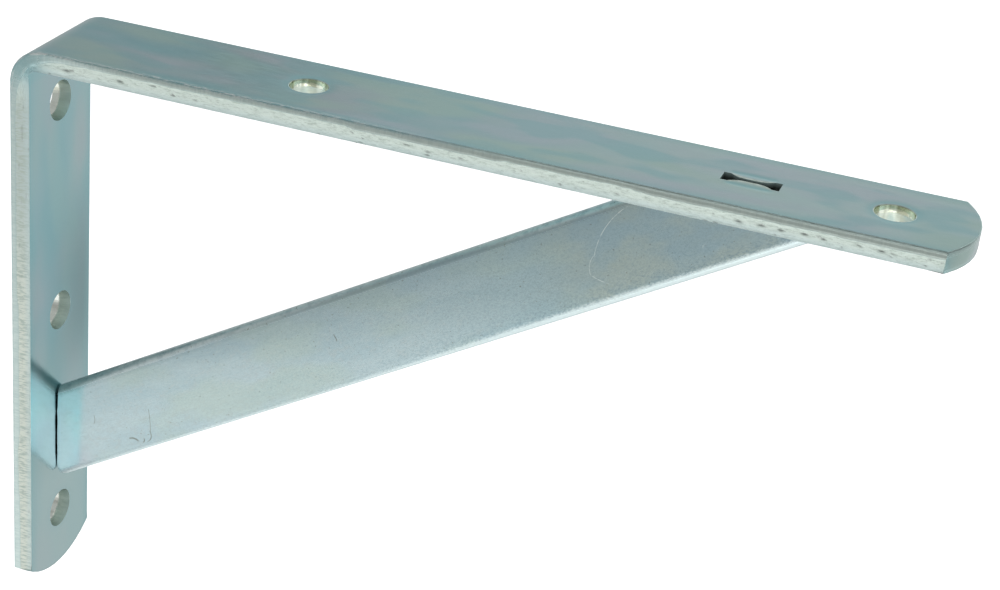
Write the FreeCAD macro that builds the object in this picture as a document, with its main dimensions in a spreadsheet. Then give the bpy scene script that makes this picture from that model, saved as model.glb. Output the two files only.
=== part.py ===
"""Gallows shelf bracket: a sheared strip bent to a right angle, and a flat bar caulked between its arms.

Sizes are in millimetres. Each body is drawn in a corner frame: X runs out from the wall, Z runs up, the
back of the wall arm is at X = 0, the top of the shelf arm is at Z = 0, and Y = 0 is the middle of the strip.
Both bodies are then raised together, so that the origin is on the wall, midway between the end holes.
"""
import FreeCAD, Part
import os
import Sketcher

DRIVING_SIZES = (
    # the strip: cut and punched from its outer side, so each edge has a rolled, a smooth and a torn zone
    ("strip_width", 30.0),
    ("strip_thickness", 5.0),
    ("shelf_reach", 225.0),
    ("wall_drop", 150.0),
    ("bend_outer_radius", 8.8),
    ("bend_inner_radius", 1.5),
    ("end_radius", 25.0),
    ("end_trim", 1.0),
    ("edge_roll", 0.3),
    ("smooth_zone", 1.5),
    ("side_break", 0.3),
    # the screw holes: the inner ones are measured from the bracket's corner, the outer ones from the tips
    ("hole_diameter", 9.0),
    ("hole_roll", 0.3),
    ("hole_break", 0.6),
    ("wall_hole_upper", 17.5),
    ("wall_hole_middle", 74.5),
    ("wall_tip_to_hole", 16.5),
    ("shelf_hole_inner", 69.5),
    ("shelf_tip_to_hole", 18.6),
    # the strut: its middle line meets the arms' inner faces at these distances from the arms' tips
    ("wall_tip_to_strut", 40.2),
    ("shelf_tip_to_strut", 47.6),
    ("strut_width", 23.1),
    ("strut_thickness", 4.0),
    ("strut_edge_radius", 1.6),
    ("strut_corner_radius", 2.0),
    ("strut_tip_radius", 1.0),
    ("foot_gap", 0.2),
    ("head_gap", 0.1),
    # the caulked joints: a tenon in a slot, with the slot's lips driven together over its end
    ("tenon_width", 12.8),
    ("tenon_clearance", 0.2),
    ("head_tenon_setback", 2.7),
    ("lip_depth", 1.2),
    ("lip_opening", 1.3),
    ("lip_open_end", 1.6),
    ("tenon_end_gap", 0.1),
)

SHELF, WALL = "shelf", "wall"
TO_WALL = FreeCAD.Rotation(FreeCAD.Vector(1, -1, 0), 180)
TOUCHING = 1e-3

OUTER_BEND = "dim.bend_outer_radius"
INNER_BEND = "(dim.bend_outer_radius - dim.strip_thickness)"
HOLE_RADIUS = "(dim.hole_diameter / 2)"
WALL_HOLE_LOWER = "(dim.wall_drop - dim.wall_tip_to_hole)"
SHELF_HOLE_OUTER = "(dim.shelf_reach - dim.shelf_tip_to_hole)"
SLOT_LENGTH = "(dim.tenon_width + 2 * dim.tenon_clearance)"
SLOT_WIDTH = "(dim.strut_thickness + 2 * dim.tenon_clearance)"
STRUT_FOOT = "(dim.wall_drop - dim.wall_tip_to_strut)"
STRUT_HEAD = "(dim.shelf_reach - dim.shelf_tip_to_strut)"
STRUT_RUN = f"({STRUT_HEAD} - dim.strip_thickness)"
STRUT_RISE = f"({STRUT_FOOT} - dim.strip_thickness)"
STRUT_SLOPE = f"({STRUT_RISE} / {STRUT_RUN})"
STRUT_ANGLE = f"atan({STRUT_SLOPE})"
STRUT_HALF_UP = f"(dim.strut_width / 2 * sqrt(1 + {STRUT_SLOPE} ^ 2))"
STRUT_WASTE = f"(dim.strut_width / {STRUT_SLOPE} + 4 * dim.strip_thickness)"
HEAD_SLOT = f"({STRUT_HEAD} - dim.head_tenon_setback)"

doc = FreeCAD.newDocument("gallows_bracket")
sheet = doc.addObject("Spreadsheet::Sheet", "dim")
for row, (alias, value) in enumerate(DRIVING_SIZES, start=1):
    sheet.set(f"A{row}", alias)
    sheet.set(f"B{row}", str(value))
    sheet.setAlias(f"B{row}", alias)
doc.recompute()


def number(expression):
    """The present value of an expression of the sheet's sizes."""
    result = sheet.evalExpression(expression)
    return float(getattr(result, "Value", result))


def bind(target, **expressions):
    """Ties properties of a feature to expressions of the sheet's sizes."""
    for name, expression in expressions.items():
        target.setExpression(name, expression)


def new_body(label):
    """An empty body, raised so that the origin is midway between the wall arm's end holes."""
    body = doc.addObject("PartDesign::Body", label)
    body.Label = label
    body.setExpression(".Placement.Base.z", f"(dim.wall_hole_upper + {WALL_HOLE_LOWER}) / 2")
    return body


def new_sketch(body, name, role, offset=("0", "0", "0"), turn=FreeCAD.Rotation(), angle=None):
    """A sketch on one of the body's origin planes, moved by three expressions and turned."""
    sketch = body.newObject("Sketcher::SketchObject", name)
    plane = next(item for item in body.Origin.OriginFeatures if item.Role == role)
    sketch.AttachmentSupport = [(plane, "")]
    sketch.MapMode = "FlatFace"
    sketch.AttachmentOffset = FreeCAD.Placement(FreeCAD.Vector(), turn)
    for axis, expression in zip("xyz", offset):
        sketch.setExpression(f".AttachmentOffset.Base.{axis}", expression)
    if angle:
        sketch.setExpression(".AttachmentOffset.Rotation.Angle", angle)
    return sketch


def face_sketch(body, name, arm, along="0"):
    """A sketch on an arm's outer face: x runs along the arm from the corner, y across it, z outwards."""
    if arm == SHELF:
        return new_sketch(body, name, "XY_Plane", (along, "0", "0"))
    return new_sketch(body, name, "YZ_Plane", ("0", f"-{along}", "0"), TO_WALL)


def middle_sketch(body, name, arm, along="0"):
    """A sketch on the middle plane: x runs along an arm, y outwards from its outer face."""
    if arm == SHELF:
        return new_sketch(body, name, "XZ_Plane", (along, "0", "0"))
    return new_sketch(body, name, "XZ_Plane", ("0", f"-{along}", "0"), TO_WALL)


def outline(sketch, corners):
    """Draws a closed outline and ties each corner to the sheet.

    A corner is (x, y), the end of a straight edge from the corner before it, or (x, y, through, radius), the
    end of an arc of that radius which passes through the point (x, y) given as a pair.
    """
    points = [FreeCAD.Vector(number(corner[0]), number(corner[1]), 0) for corner in corners]
    edges, first_end, last_end = [], [], []
    for index, corner in enumerate(corners):
        start, end = points[index - 1], points[index]
        anticlockwise = True
        if len(corner) == 2:
            shape = Part.LineSegment(start, end)
        else:
            through = FreeCAD.Vector(number(corner[2][0]), number(corner[2][1]), 0)
            anticlockwise = (through - start).cross(end - start).z > 0
            shape = Part.Arc(start, through, end) if anticlockwise else Part.Arc(end, through, start)
        edges.append(sketch.addGeometry(shape))
        first_end.append(1 if anticlockwise else 2)
        last_end.append(2 if anticlockwise else 1)
    for index, corner in enumerate(corners):
        edge, end = edges[index], last_end[index]
        follower = (index + 1) % len(edges)
        sketch.addConstraint(
            Sketcher.Constraint("Coincident", edge, end, edges[follower], first_end[follower])
        )
        for kind, expression in (("DistanceX", corner[0]), ("DistanceY", corner[1])):
            tie = sketch.addConstraint(Sketcher.Constraint(kind, edge, end, number(expression)))
            sketch.setExpression(f"Constraints[{tie}]", expression)
        if len(corner) == 4:
            tie = sketch.addConstraint(Sketcher.Constraint("Radius", edge, number(corner[3])))
            sketch.setExpression(f"Constraints[{tie}]", corner[3])


def feature(body, kind, name, profile):
    """A feature of the body that is made from a sketch."""
    made = body.newObject(f"PartDesign::{kind}", name)
    made.Profile = profile
    return made


def strip_section(sketch):
    """The strip's cut section, seen along the strip, with the bend's axis on the sketch's x axis.

    The sides stand square in the smooth zone and lean inwards over the torn zone, towards the inner face.
    """
    side = "dim.strip_width / 2"
    torn_side = f"({side} - dim.side_break)"
    smooth_end = f"({OUTER_BEND} - dim.smooth_zone)"
    outline(sketch, [
        (side, OUTER_BEND),
        (side, smooth_end),
        (torn_side, INNER_BEND),
        (f"-{torn_side}", INNER_BEND),
        (f"-({side})", smooth_end),
        (f"-({side})", OUTER_BEND),
    ])


def bent_strip_arms(body):
    """The two straight arms and the quarter turn between them, all of one section."""
    shelf_section = new_sketch(body, "shelf_section", "YZ_Plane", ("0", f"-{OUTER_BEND}", OUTER_BEND))
    strip_section(shelf_section)
    shelf_arm = feature(body, "Pad", "shelf_arm", shelf_section)
    bind(shelf_arm, Length=f"dim.shelf_reach + dim.end_trim - {OUTER_BEND}")
    doc.recompute()

    bend_section = new_sketch(body, "bend_section", "YZ_Plane", ("0", f"-{OUTER_BEND}", OUTER_BEND))
    strip_section(bend_section)
    bend = feature(body, "Revolution", "bend", bend_section)
    bend.ReferenceAxis = (bend_section, ["H_Axis"])
    bend.Angle = 90
    bend.Reversed = True
    doc.recompute()

    turned = FreeCAD.Rotation(FreeCAD.Vector(0, 0, 1), 90)
    wall_section = new_sketch(body, "wall_section", "XY_Plane", (OUTER_BEND, "0", f"-{OUTER_BEND}"), turned)
    strip_section(wall_section)
    wall_arm = feature(body, "Pad", "wall_arm", wall_section)
    wall_arm.Reversed = True
    bind(wall_arm, Length=f"dim.wall_drop + dim.end_trim - {OUTER_BEND}")
    doc.recompute()


def sharpen_bend(body):
    """Cuts the inside of the bend to its small radius, where the press has squeezed the strip thinner."""
    radius = "dim.bend_inner_radius"
    start = f"(dim.strip_thickness + {radius})"
    middle = f"({start} - {radius} * sqrt(0.5))"
    sketch = new_sketch(body, "bend_inside", "XZ_Plane")
    outline(sketch, [
        (OUTER_BEND, f"-{OUTER_BEND}"),
        (OUTER_BEND, "-dim.strip_thickness"),
        (start, "-dim.strip_thickness"),
        ("dim.strip_thickness", f"-{start}", (middle, f"-{middle}"), radius),
        ("dim.strip_thickness", f"-{OUTER_BEND}"),
    ])
    cut = feature(body, "Pocket", "sharp_bend", sketch)
    cut.Midplane = True
    bind(cut, Length="dim.strip_width")
    doc.recompute()


def crop_end(body, arm, reach):
    """Cuts an arm's end to a shallow arc whose tip lies at the arm's reach."""
    half = "(dim.strip_width / 2 + dim.end_trim)"
    corner = f"({reach} - dim.end_radius + sqrt(dim.end_radius ^ 2 - {half} ^ 2))"
    beyond = f"({reach} + 2 * dim.end_trim)"
    sketch = face_sketch(body, f"{arm}_end_arc", arm)
    outline(sketch, [
        (corner, f"-{half}", (reach, "0"), "dim.end_radius"),
        (beyond, f"-{half}"),
        (beyond, half),
        (corner, half),
    ])
    cut = feature(body, "Pocket", f"{arm}_end", sketch)
    bind(cut, Length="dim.strip_thickness")
    doc.recompute()


def punch_hole(body, arm, name, place):
    """A punched hole: rolled in at the outer face, smooth, then torn wider towards the inner face."""
    mouth = f"({HOLE_RADIUS} + dim.hole_roll)"
    middle = "dim.hole_roll * (1 - sqrt(0.5))"
    sketch = middle_sketch(body, f"{name}_profile", arm, place)
    outline(sketch, [
        ("0", "0"),
        (mouth, "0"),
        (
            HOLE_RADIUS, "-dim.hole_roll",
            (f"({HOLE_RADIUS} + {middle})", f"-({middle})"), "dim.hole_roll",
        ),
        (HOLE_RADIUS, "-dim.smooth_zone"),
        (f"({HOLE_RADIUS} + dim.hole_break)", "-dim.strip_thickness"),
        ("0", "-dim.strip_thickness"),
    ])
    hole = feature(body, "Groove", name, sketch)
    hole.ReferenceAxis = (sketch, ["V_Axis"])
    hole.Angle = 360
    doc.recompute()


def caulked_slot(body, arm, place):
    """A slot for a tenon, with its outer lips driven together in the middle and open at both ends."""
    end = f"({SLOT_LENGTH} / 2)"
    side = f"({SLOT_WIDTH} / 2)"
    chamber = middle_sketch(body, f"{arm}_slot_outline", arm, place)
    outline(chamber, [
        (f"-{end}", "-dim.strip_thickness"),
        (end, "-dim.strip_thickness"),
        (end, "-dim.lip_depth"),
        (f"-{end}", "-dim.lip_depth"),
    ])
    slot = feature(body, "Pocket", f"{arm}_slot", chamber)
    slot.Midplane = True
    bind(slot, Length=SLOT_WIDTH)
    doc.recompute()

    lip_start = f"({end} - dim.lip_open_end)"
    lip_top = "(dim.lip_opening / 2)"
    bulge = f"({side} - {lip_top})"
    lip_radius = f"(({lip_start} ^ 2 + {bulge} ^ 2) / (2 * {bulge}))"
    mouth = face_sketch(body, f"{arm}_slot_lips", arm, place)
    outline(mouth, [
        (f"-{lip_start}", f"-{side}"),
        (lip_start, f"-{side}", ("0", f"-{lip_top}"), lip_radius),
        (end, f"-{side}"),
        (end, side),
        (lip_start, side),
        (f"-{lip_start}", side, ("0", lip_top), lip_radius),
        (f"-{end}", side),
        (f"-{end}", f"-{side}"),
    ])
    lips = feature(body, "Pocket", f"{arm}_lips", mouth)
    bind(lips, Length="dim.lip_depth")
    doc.recompute()


def skin_depth(point):
    """How far a point lies under the strip's outer skin, on either arm or in the bend."""
    bend = number(OUTER_BEND)
    return bend - FreeCAD.Vector(max(bend - point.x, 0), 0, max(point.z + bend, 0)).Length


def roll_outer_edges(body):
    """Rounds the outer outline of both arms and the bend, as the shear's blade draws it in."""
    base = body.Tip
    outline_edges = []
    for index, edge in enumerate(base.Shape.Edges, start=1):
        runs_across = edge.Curve.TypeId == "Part::GeomLine" and edge.BoundBox.YLength > TOUCHING
        on_skin = all(abs(skin_depth(point)) < TOUCHING for point in edge.discretize(3))
        if on_skin and not runs_across:
            outline_edges.append(f"Edge{index}")
    rolled = body.newObject("PartDesign::Fillet", "rolled_edges")
    rolled.Base = (base, outline_edges)
    bind(rolled, Radius="dim.edge_roll")
    doc.recompute()


def make_bent_strip():
    """The strip: arms, bend, cropped ends, rolled edges, screw holes and tenon slots."""
    body = new_body("bent_strip")
    bent_strip_arms(body)
    sharpen_bend(body)
    crop_end(body, SHELF, "dim.shelf_reach")
    crop_end(body, WALL, "dim.wall_drop")
    roll_outer_edges(body)
    punch_hole(body, WALL, "wall_hole_upper", "dim.wall_hole_upper")
    punch_hole(body, WALL, "wall_hole_middle", "dim.wall_hole_middle")
    punch_hole(body, WALL, "wall_hole_lower", WALL_HOLE_LOWER)
    punch_hole(body, SHELF, "shelf_hole_inner", "dim.shelf_hole_inner")
    punch_hole(body, SHELF, "shelf_hole_outer", SHELF_HOLE_OUTER)
    caulked_slot(body, WALL, STRUT_FOOT)
    caulked_slot(body, SHELF, HEAD_SLOT)
    return body


def strut_bar(body):
    """The strut's stock: a flat bar with rounded long edges, laid along the strut's middle line."""
    side = "(dim.strut_thickness / 2)"
    edge = "(dim.strut_width / 2)"
    radius = "dim.strut_edge_radius"
    flat_side = f"({side} - {radius})"
    flat_edge = f"({edge} - {radius})"
    round_side = f"({flat_side} + {radius} * sqrt(0.5))"
    round_edge = f"({flat_edge} + {radius} * sqrt(0.5))"
    middle = (
        "0",
        f"-({STRUT_FOOT} + dim.strip_thickness) / 2",
        f"({STRUT_HEAD} + dim.strip_thickness) / 2",
    )
    tilt = FreeCAD.Rotation(FreeCAD.Vector(-1, 0, 0), number(STRUT_ANGLE))
    section = new_sketch(body, "bar_section", "YZ_Plane", middle, tilt, STRUT_ANGLE)
    outline(section, [
        (flat_side, f"-{edge}"),
        (side, f"-{flat_edge}", (round_side, f"-{round_edge}"), radius),
        (side, flat_edge),
        (flat_side, edge, (round_side, round_edge), radius),
        (f"-{flat_side}", edge),
        (f"-{side}", flat_edge, (f"-{round_side}", round_edge), radius),
        (f"-{side}", f"-{flat_edge}"),
        (f"-{flat_side}", f"-{edge}", (f"-{round_side}", f"-{round_edge}"), radius),
    ])
    bar = feature(body, "Pad", "bar", section)
    bar.Midplane = True
    bind(bar, Length=f"sqrt({STRUT_RUN} ^ 2 + {STRUT_RISE} ^ 2) + 2 * {STRUT_WASTE}")
    doc.recompute()


def crop_foot(body):
    """Crops the bar upright along the wall arm, round at the low corner, and leaves the foot's tenon."""
    face = "(dim.strip_thickness + dim.foot_gap)"
    corner = f"(dim.foot_gap * {STRUT_SLOPE} - {STRUT_FOOT} - {STRUT_HALF_UP})"
    radius = "dim.strut_corner_radius"
    back = f"({radius} / tan(45 deg - {STRUT_ANGLE} / 2))"
    share = f"({radius} / sqrt({radius} ^ 2 + {back} ^ 2))"
    through = (
        f"({face} + {radius} - {radius} * {share})",
        f"({corner} + {back} - {back} * {share})",
    )
    tenon_low = f"(-{STRUT_FOOT} - dim.tenon_width / 2)"
    tenon_high = f"(-{STRUT_FOOT} + dim.tenon_width / 2)"
    tenon_end = "(dim.lip_depth + dim.tenon_end_gap)"
    under = f"({corner} - {STRUT_WASTE})"
    over = f"(-{STRUT_FOOT} + {STRUT_HALF_UP} + {STRUT_WASTE})"
    sketch = new_sketch(body, "foot_outline", "XZ_Plane")
    outline(sketch, [
        (face, over),
        (f"-{STRUT_WASTE}", over),
        (f"-{STRUT_WASTE}", under),
        (f"({face} + {back} * cos({STRUT_ANGLE}))", under),
        (f"({face} + {back} * cos({STRUT_ANGLE}))", f"({corner} + {back} * sin({STRUT_ANGLE}))"),
        (face, f"({corner} + {back})", through, radius),
        (face, tenon_low),
        (tenon_end, tenon_low),
        (tenon_end, tenon_high),
        (face, tenon_high),
    ])
    crop = feature(body, "Pocket", "foot", sketch)
    crop.Midplane = True
    bind(crop, Length="2 * dim.strut_thickness")
    doc.recompute()


def crop_head(body):
    """Crops the bar level under the shelf arm, blunt at the sharp tip, and leaves the head's tenon."""
    face = "(-dim.strip_thickness - dim.head_gap)"
    half = f"({STRUT_HALF_UP} / {STRUT_SLOPE})"
    tip = f"({STRUT_HEAD} + {half} - dim.head_gap / {STRUT_SLOPE})"
    radius = "dim.strut_tip_radius"
    back = f"({radius} / tan({STRUT_ANGLE} / 2))"
    share = f"({radius} / sqrt({radius} ^ 2 + {back} ^ 2))"
    through = (
        f"({tip} - {back} + {back} * {share})",
        f"({face} - {radius} + {radius} * {share})",
    )
    tenon_inner = f"({HEAD_SLOT} - dim.tenon_width / 2)"
    tenon_outer = f"({HEAD_SLOT} + dim.tenon_width / 2)"
    tenon_end = "(-dim.lip_depth - dim.tenon_end_gap)"
    low = f"({face} - {back} * sin({STRUT_ANGLE}))"
    beyond = f"({tip} + {STRUT_WASTE})"
    sketch = new_sketch(body, "head_outline", "XZ_Plane")
    outline(sketch, [
        (f"({STRUT_HEAD} - 2 * {half})", face),
        (tenon_inner, face),
        (tenon_inner, tenon_end),
        (tenon_outer, tenon_end),
        (tenon_outer, face),
        (f"({tip} - {back})", face),
        (f"({tip} - {back} * cos({STRUT_ANGLE}))", low, through, radius),
        (beyond, low),
        (beyond, STRUT_WASTE),
        (f"({STRUT_HEAD} - 2 * {half})", STRUT_WASTE),
    ])
    crop = feature(body, "Pocket", "head", sketch)
    crop.Midplane = True
    bind(crop, Length="2 * dim.strut_thickness")
    doc.recompute()


def make_diagonal_strut():
    """The strut: a round-edged flat bar, cropped to the two arms with a tenon on each end."""
    body = new_body("diagonal_strut")
    strut_bar(body)
    crop_foot(body)
    crop_head(body)
    return body


def check_and_export(bodies):
    """Stops on any failed object or bad solid, then writes one STEP file for each body."""
    doc.recompute()
    failed = [item.Name for item in doc.Objects if {"Invalid", "Error"} & set(item.State)]
    if failed:
        raise RuntimeError(f"these objects failed: {failed}")
    for body in bodies:
        if body.Shape.isNull() or not body.Shape.isValid() or len(body.Shape.Solids) != 1:
            raise RuntimeError(f"{body.Label} is not one valid solid")
    os.makedirs("parts", exist_ok=True)
    for body in bodies:
        body.Shape.exportStep(f"parts/{body.Label}.step")
        print(body.Label, "volume", round(body.Shape.Volume, 1), "box", body.Shape.BoundBox)


check_and_export([make_bent_strip(), make_diagonal_strut()])
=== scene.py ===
"""Dresses the gallows shelf bracket: a sheared, zinc plated strip, its strut, a studio and a camera.

Lengths inside the pieces' classes are in millimetres. Their place() turns them into metres of the
shared frame.
"""
import logging
import math
from collections.abc import Callable
from dataclasses import dataclass, field
from enum import Enum

import bmesh
import bpy
import numpy as np
from mathutils import Matrix, Vector


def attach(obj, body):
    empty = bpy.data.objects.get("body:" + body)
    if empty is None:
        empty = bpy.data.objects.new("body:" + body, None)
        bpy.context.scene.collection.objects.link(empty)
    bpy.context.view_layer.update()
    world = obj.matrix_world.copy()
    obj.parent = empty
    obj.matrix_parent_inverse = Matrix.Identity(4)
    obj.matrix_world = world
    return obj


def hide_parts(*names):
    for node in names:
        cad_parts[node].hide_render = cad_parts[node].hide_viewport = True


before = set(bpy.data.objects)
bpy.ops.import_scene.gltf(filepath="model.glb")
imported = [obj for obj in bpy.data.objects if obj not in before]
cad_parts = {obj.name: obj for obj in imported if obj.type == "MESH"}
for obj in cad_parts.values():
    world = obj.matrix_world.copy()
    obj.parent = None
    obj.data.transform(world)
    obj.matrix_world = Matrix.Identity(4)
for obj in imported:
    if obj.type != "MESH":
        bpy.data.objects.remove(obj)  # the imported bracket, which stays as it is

Array = np.ndarray
Socket = bpy.types.NodeSocket
Triple = tuple[float, float, float]
Colour = tuple[float, float, float]

MM = 0.001
RIGHT_ANGLE = math.pi / 2.0
FULL_TURN = math.pi * 2.0
CORNER_HEIGHT = 75.5
WELD = 2e-6
SHARP_ANGLE = math.radians(38.0)
NOISE_CELLS = 256
LAYER_FADE = 0.55
TRAITS = ("torn", "stain", "rubbed", "bore")
log = logging.getLogger("bracket")


class Side(Enum):
    """The strip's two skins: the one that faces the shelf and the wall, and the one that faces the strut."""

    OUTER = "outer"
    INNER = "inner"


class Arm(Enum):
    """The two arms of the strip."""

    SHELF = "shelf"
    WALL = "wall"


class Facing(Enum):
    """How a flat sheet of the studio lies, as the directions of its two half edges."""

    UP = ((1.0, 0.0, 0.0), (0.0, 1.0, 0.0))
    FRONT = ((1.0, 0.0, 0.0), (0.0, 0.0, 1.0))
    SIDE = ((0.0, 1.0, 0.0), (0.0, 0.0, 1.0))


def bell(distance: Array, width: float) -> Array:
    """A bump of height 1 that fades on both sides: e to the minus squared share of the width."""
    return np.exp(-np.square(distance / width))


def ease(value: Array, low: float, high: float) -> Array:
    """A smooth step from 0 at low to 1 at high: three times the squared share minus twice its cube."""
    share = np.clip((value - low) / (high - low), 0.0, 1.0)
    return share * share * (3.0 - 2.0 * share)


def grain(u: Array, v: Array | float, seed: int) -> Array:
    """Smooth seeded noise: random values on a unit grid, blended by smooth steps along u and along v.

    Args:
        u: First coordinate, in grid cells.
        v: Second coordinate, in grid cells.
        seed: Number that picks the random grid.

    Returns:
        Values from -1 to 1, in the shape of u and v.
    """
    table = np.random.default_rng(seed).uniform(-1.0, 1.0, (NOISE_CELLS, NOISE_CELLS))
    u, v = np.broadcast_arrays(u, v)
    cell_u, cell_v = np.floor(u).astype(int), np.floor(v).astype(int)
    share_u, share_v = ease(u - cell_u, 0.0, 1.0), ease(v - cell_v, 0.0, 1.0)
    near_u, far_u = cell_u % NOISE_CELLS, (cell_u + 1) % NOISE_CELLS
    near_v, far_v = cell_v % NOISE_CELLS, (cell_v + 1) % NOISE_CELLS
    low = table[near_u, near_v] * (1.0 - share_u) + table[far_u, near_v] * share_u
    high = table[near_u, far_v] * (1.0 - share_u) + table[far_u, far_v] * share_u
    return low * (1.0 - share_v) + high * share_v


def rough_grain(u: Array, v: Array | float, seed: int, layers: int = 3) -> Array:
    """Noise of several sizes: each layer is twice as fine and about half as strong as the one before it."""
    total = sum(grain(u * 2.0**k, v * 2.0**k, seed + k) * LAYER_FADE**k for k in range(layers))
    return total / sum(LAYER_FADE**k for k in range(layers))


class Patchwork:
    """Gathers grids of points with their traits, and welds them into one closed mesh."""

    def __init__(self, name: str, place: Callable[[Array], Array]) -> None:
        """Starts an empty patchwork.

        Args:
            name: The piece's name.
            place: The function that puts flat places in the frame.
        """
        self.name = name
        self.place = place
        self.points: list[Array] = []
        self.quads: list[Array] = []
        self.traits: dict[str, list[Array]] = {name: [] for name in ("flat", *TRAITS)}
        self.count = 0

    def add(self, flat: Array, loop: bool = False, **traits: Array | float) -> None:
        """Adds a grid of points as quads.

        Args:
            flat: Rows by columns by three: places on the piece before bending, in millimetres, for the
                finish to follow.
            loop: Whether the last row joins the first.
            traits: Values from 0 to 1 over the grid: torn for torn metal, stain for a tint, a smudge,
            and painted shade in pits, grooves, slots and tenons, rubbed for metal that the shear's blade
            rubbed smooth, bore for a punched hole's wall.
        """
        rows, columns = flat.shape[:2]
        index = np.arange(rows * columns).reshape(rows, columns) + self.count
        if loop:
            index = np.concatenate([index, index[:1]])
        corners = (index[:-1, :-1], index[1:, :-1], index[1:, 1:], index[:-1, 1:])
        self.quads.append(np.stack(corners, -1).reshape(-1, 4))
        self.points.append(self.place(flat).reshape(-1, 3))
        self.traits["flat"].append(flat.reshape(-1, 3))
        for name in TRAITS:
            values = np.broadcast_to(traits.get(name, 0.0), (rows, columns))
            self.traits[name].append(values.reshape(-1))
        self.count += rows * columns

    def object(self) -> bpy.types.Object:
        """Makes the mesh object: welds the grids' shared edges, turns faces outwards and shades it smooth.

        Returns:
            The new object, at the origin, in the scene.
        """
        mesh = bpy.data.meshes.new(self.name)
        mesh.from_pydata(np.concatenate(self.points), [], np.concatenate(self.quads))
        for name, grids in self.traits.items():
            kind, key = ("FLOAT_VECTOR", "vector") if name == "flat" else ("FLOAT", "value")
            values = np.concatenate(grids).astype(np.float32)
            mesh.attributes.new(name, kind, "POINT").data.foreach_set(key, values.ravel())
        shell = bmesh.new()
        shell.from_mesh(mesh)
        bmesh.ops.remove_doubles(shell, verts=shell.verts, dist=WELD)
        bmesh.ops.recalc_face_normals(shell, faces=shell.faces)
        open_edges = sum(not edge.is_manifold for edge in shell.edges)
        shell.to_mesh(mesh)
        shell.free()
        mesh.shade_smooth()
        mesh.set_sharp_from_angle(angle=SHARP_ANGLE)
        mesh.update()
        piece = bpy.data.objects.new(self.name, mesh)
        bpy.context.scene.collection.objects.link(piece)
        log.info("%s: %d faces, %d open edges", self.name, len(mesh.polygons), open_edges)
        return piece


class Nodes:
    """A node tree in the making."""

    def __init__(self, tree: bpy.types.NodeTree) -> None:
        """Takes up a tree."""
        self.tree = tree

    def node(self, kind: str, inputs: dict[str | int, object] | None = None,
             **settings: object) -> bpy.types.Node:
        """Adds a node.

        Args:
            kind: The node's type name, without the words ShaderNode.
            inputs: Values or output sockets for its input sockets, by name or number.
            settings: Properties of the node.

        Returns:
            The new node.
        """
        made = self.tree.nodes.new(f"ShaderNode{kind}")
        for key, value in settings.items():
            setattr(made, key, value)
        for key, value in (inputs or {}).items():
            self.feed(made.inputs[key], value)
        return made

    def feed(self, socket: Socket, value: object) -> None:
        """Sets an input socket to a value, or links it to an output socket.

        Args:
            socket: The input socket.
            value: The value, or the output socket.
        """
        if isinstance(value, Socket):
            self.tree.links.new(value, socket)
        else:
            socket.default_value = value

    def maths(self, operation: str, first: object, second: object = 0.0) -> Socket:
        """One step of arithmetic on two values."""
        return self.node("Math", {0: first, 1: second}, operation=operation).outputs[0]

    def times(self, first: object, *others: object) -> Socket:
        """The product of several values.

        Args:
            first: The first value or socket.
            others: The other values or sockets.

        Returns:
            The product's socket.
        """
        for other in others:
            first = self.maths("MULTIPLY", first, other)
        return first

    def seen(self) -> Socket:
        """1 for rays from the camera, off mirrors and through glass, 0 for light that falls on things.

        Returns:
            The share's socket.
        """
        path = self.node("LightPath").outputs
        seen = self.maths("MAXIMUM", path["Is Camera Ray"], path["Is Glossy Ray"])
        return self.maths("MAXIMUM", seen, path["Is Transmission Ray"])


class Shader(Nodes):
    """A node material in the making."""

    def __init__(self, name: str) -> None:
        """Starts a material with one shader node.

        Args:
            name: The material's name.
        """
        self.material = bpy.data.materials.new(name)
        self.material.use_nodes = True
        super().__init__(self.material.node_tree)
        self.surface = self.tree.nodes["Principled BSDF"]

    def set(self, values: dict[str, object]) -> None:
        """Sets or links the shader node's inputs, by name."""
        for name, value in values.items():
            self.feed(self.surface.inputs[name], value)


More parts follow.
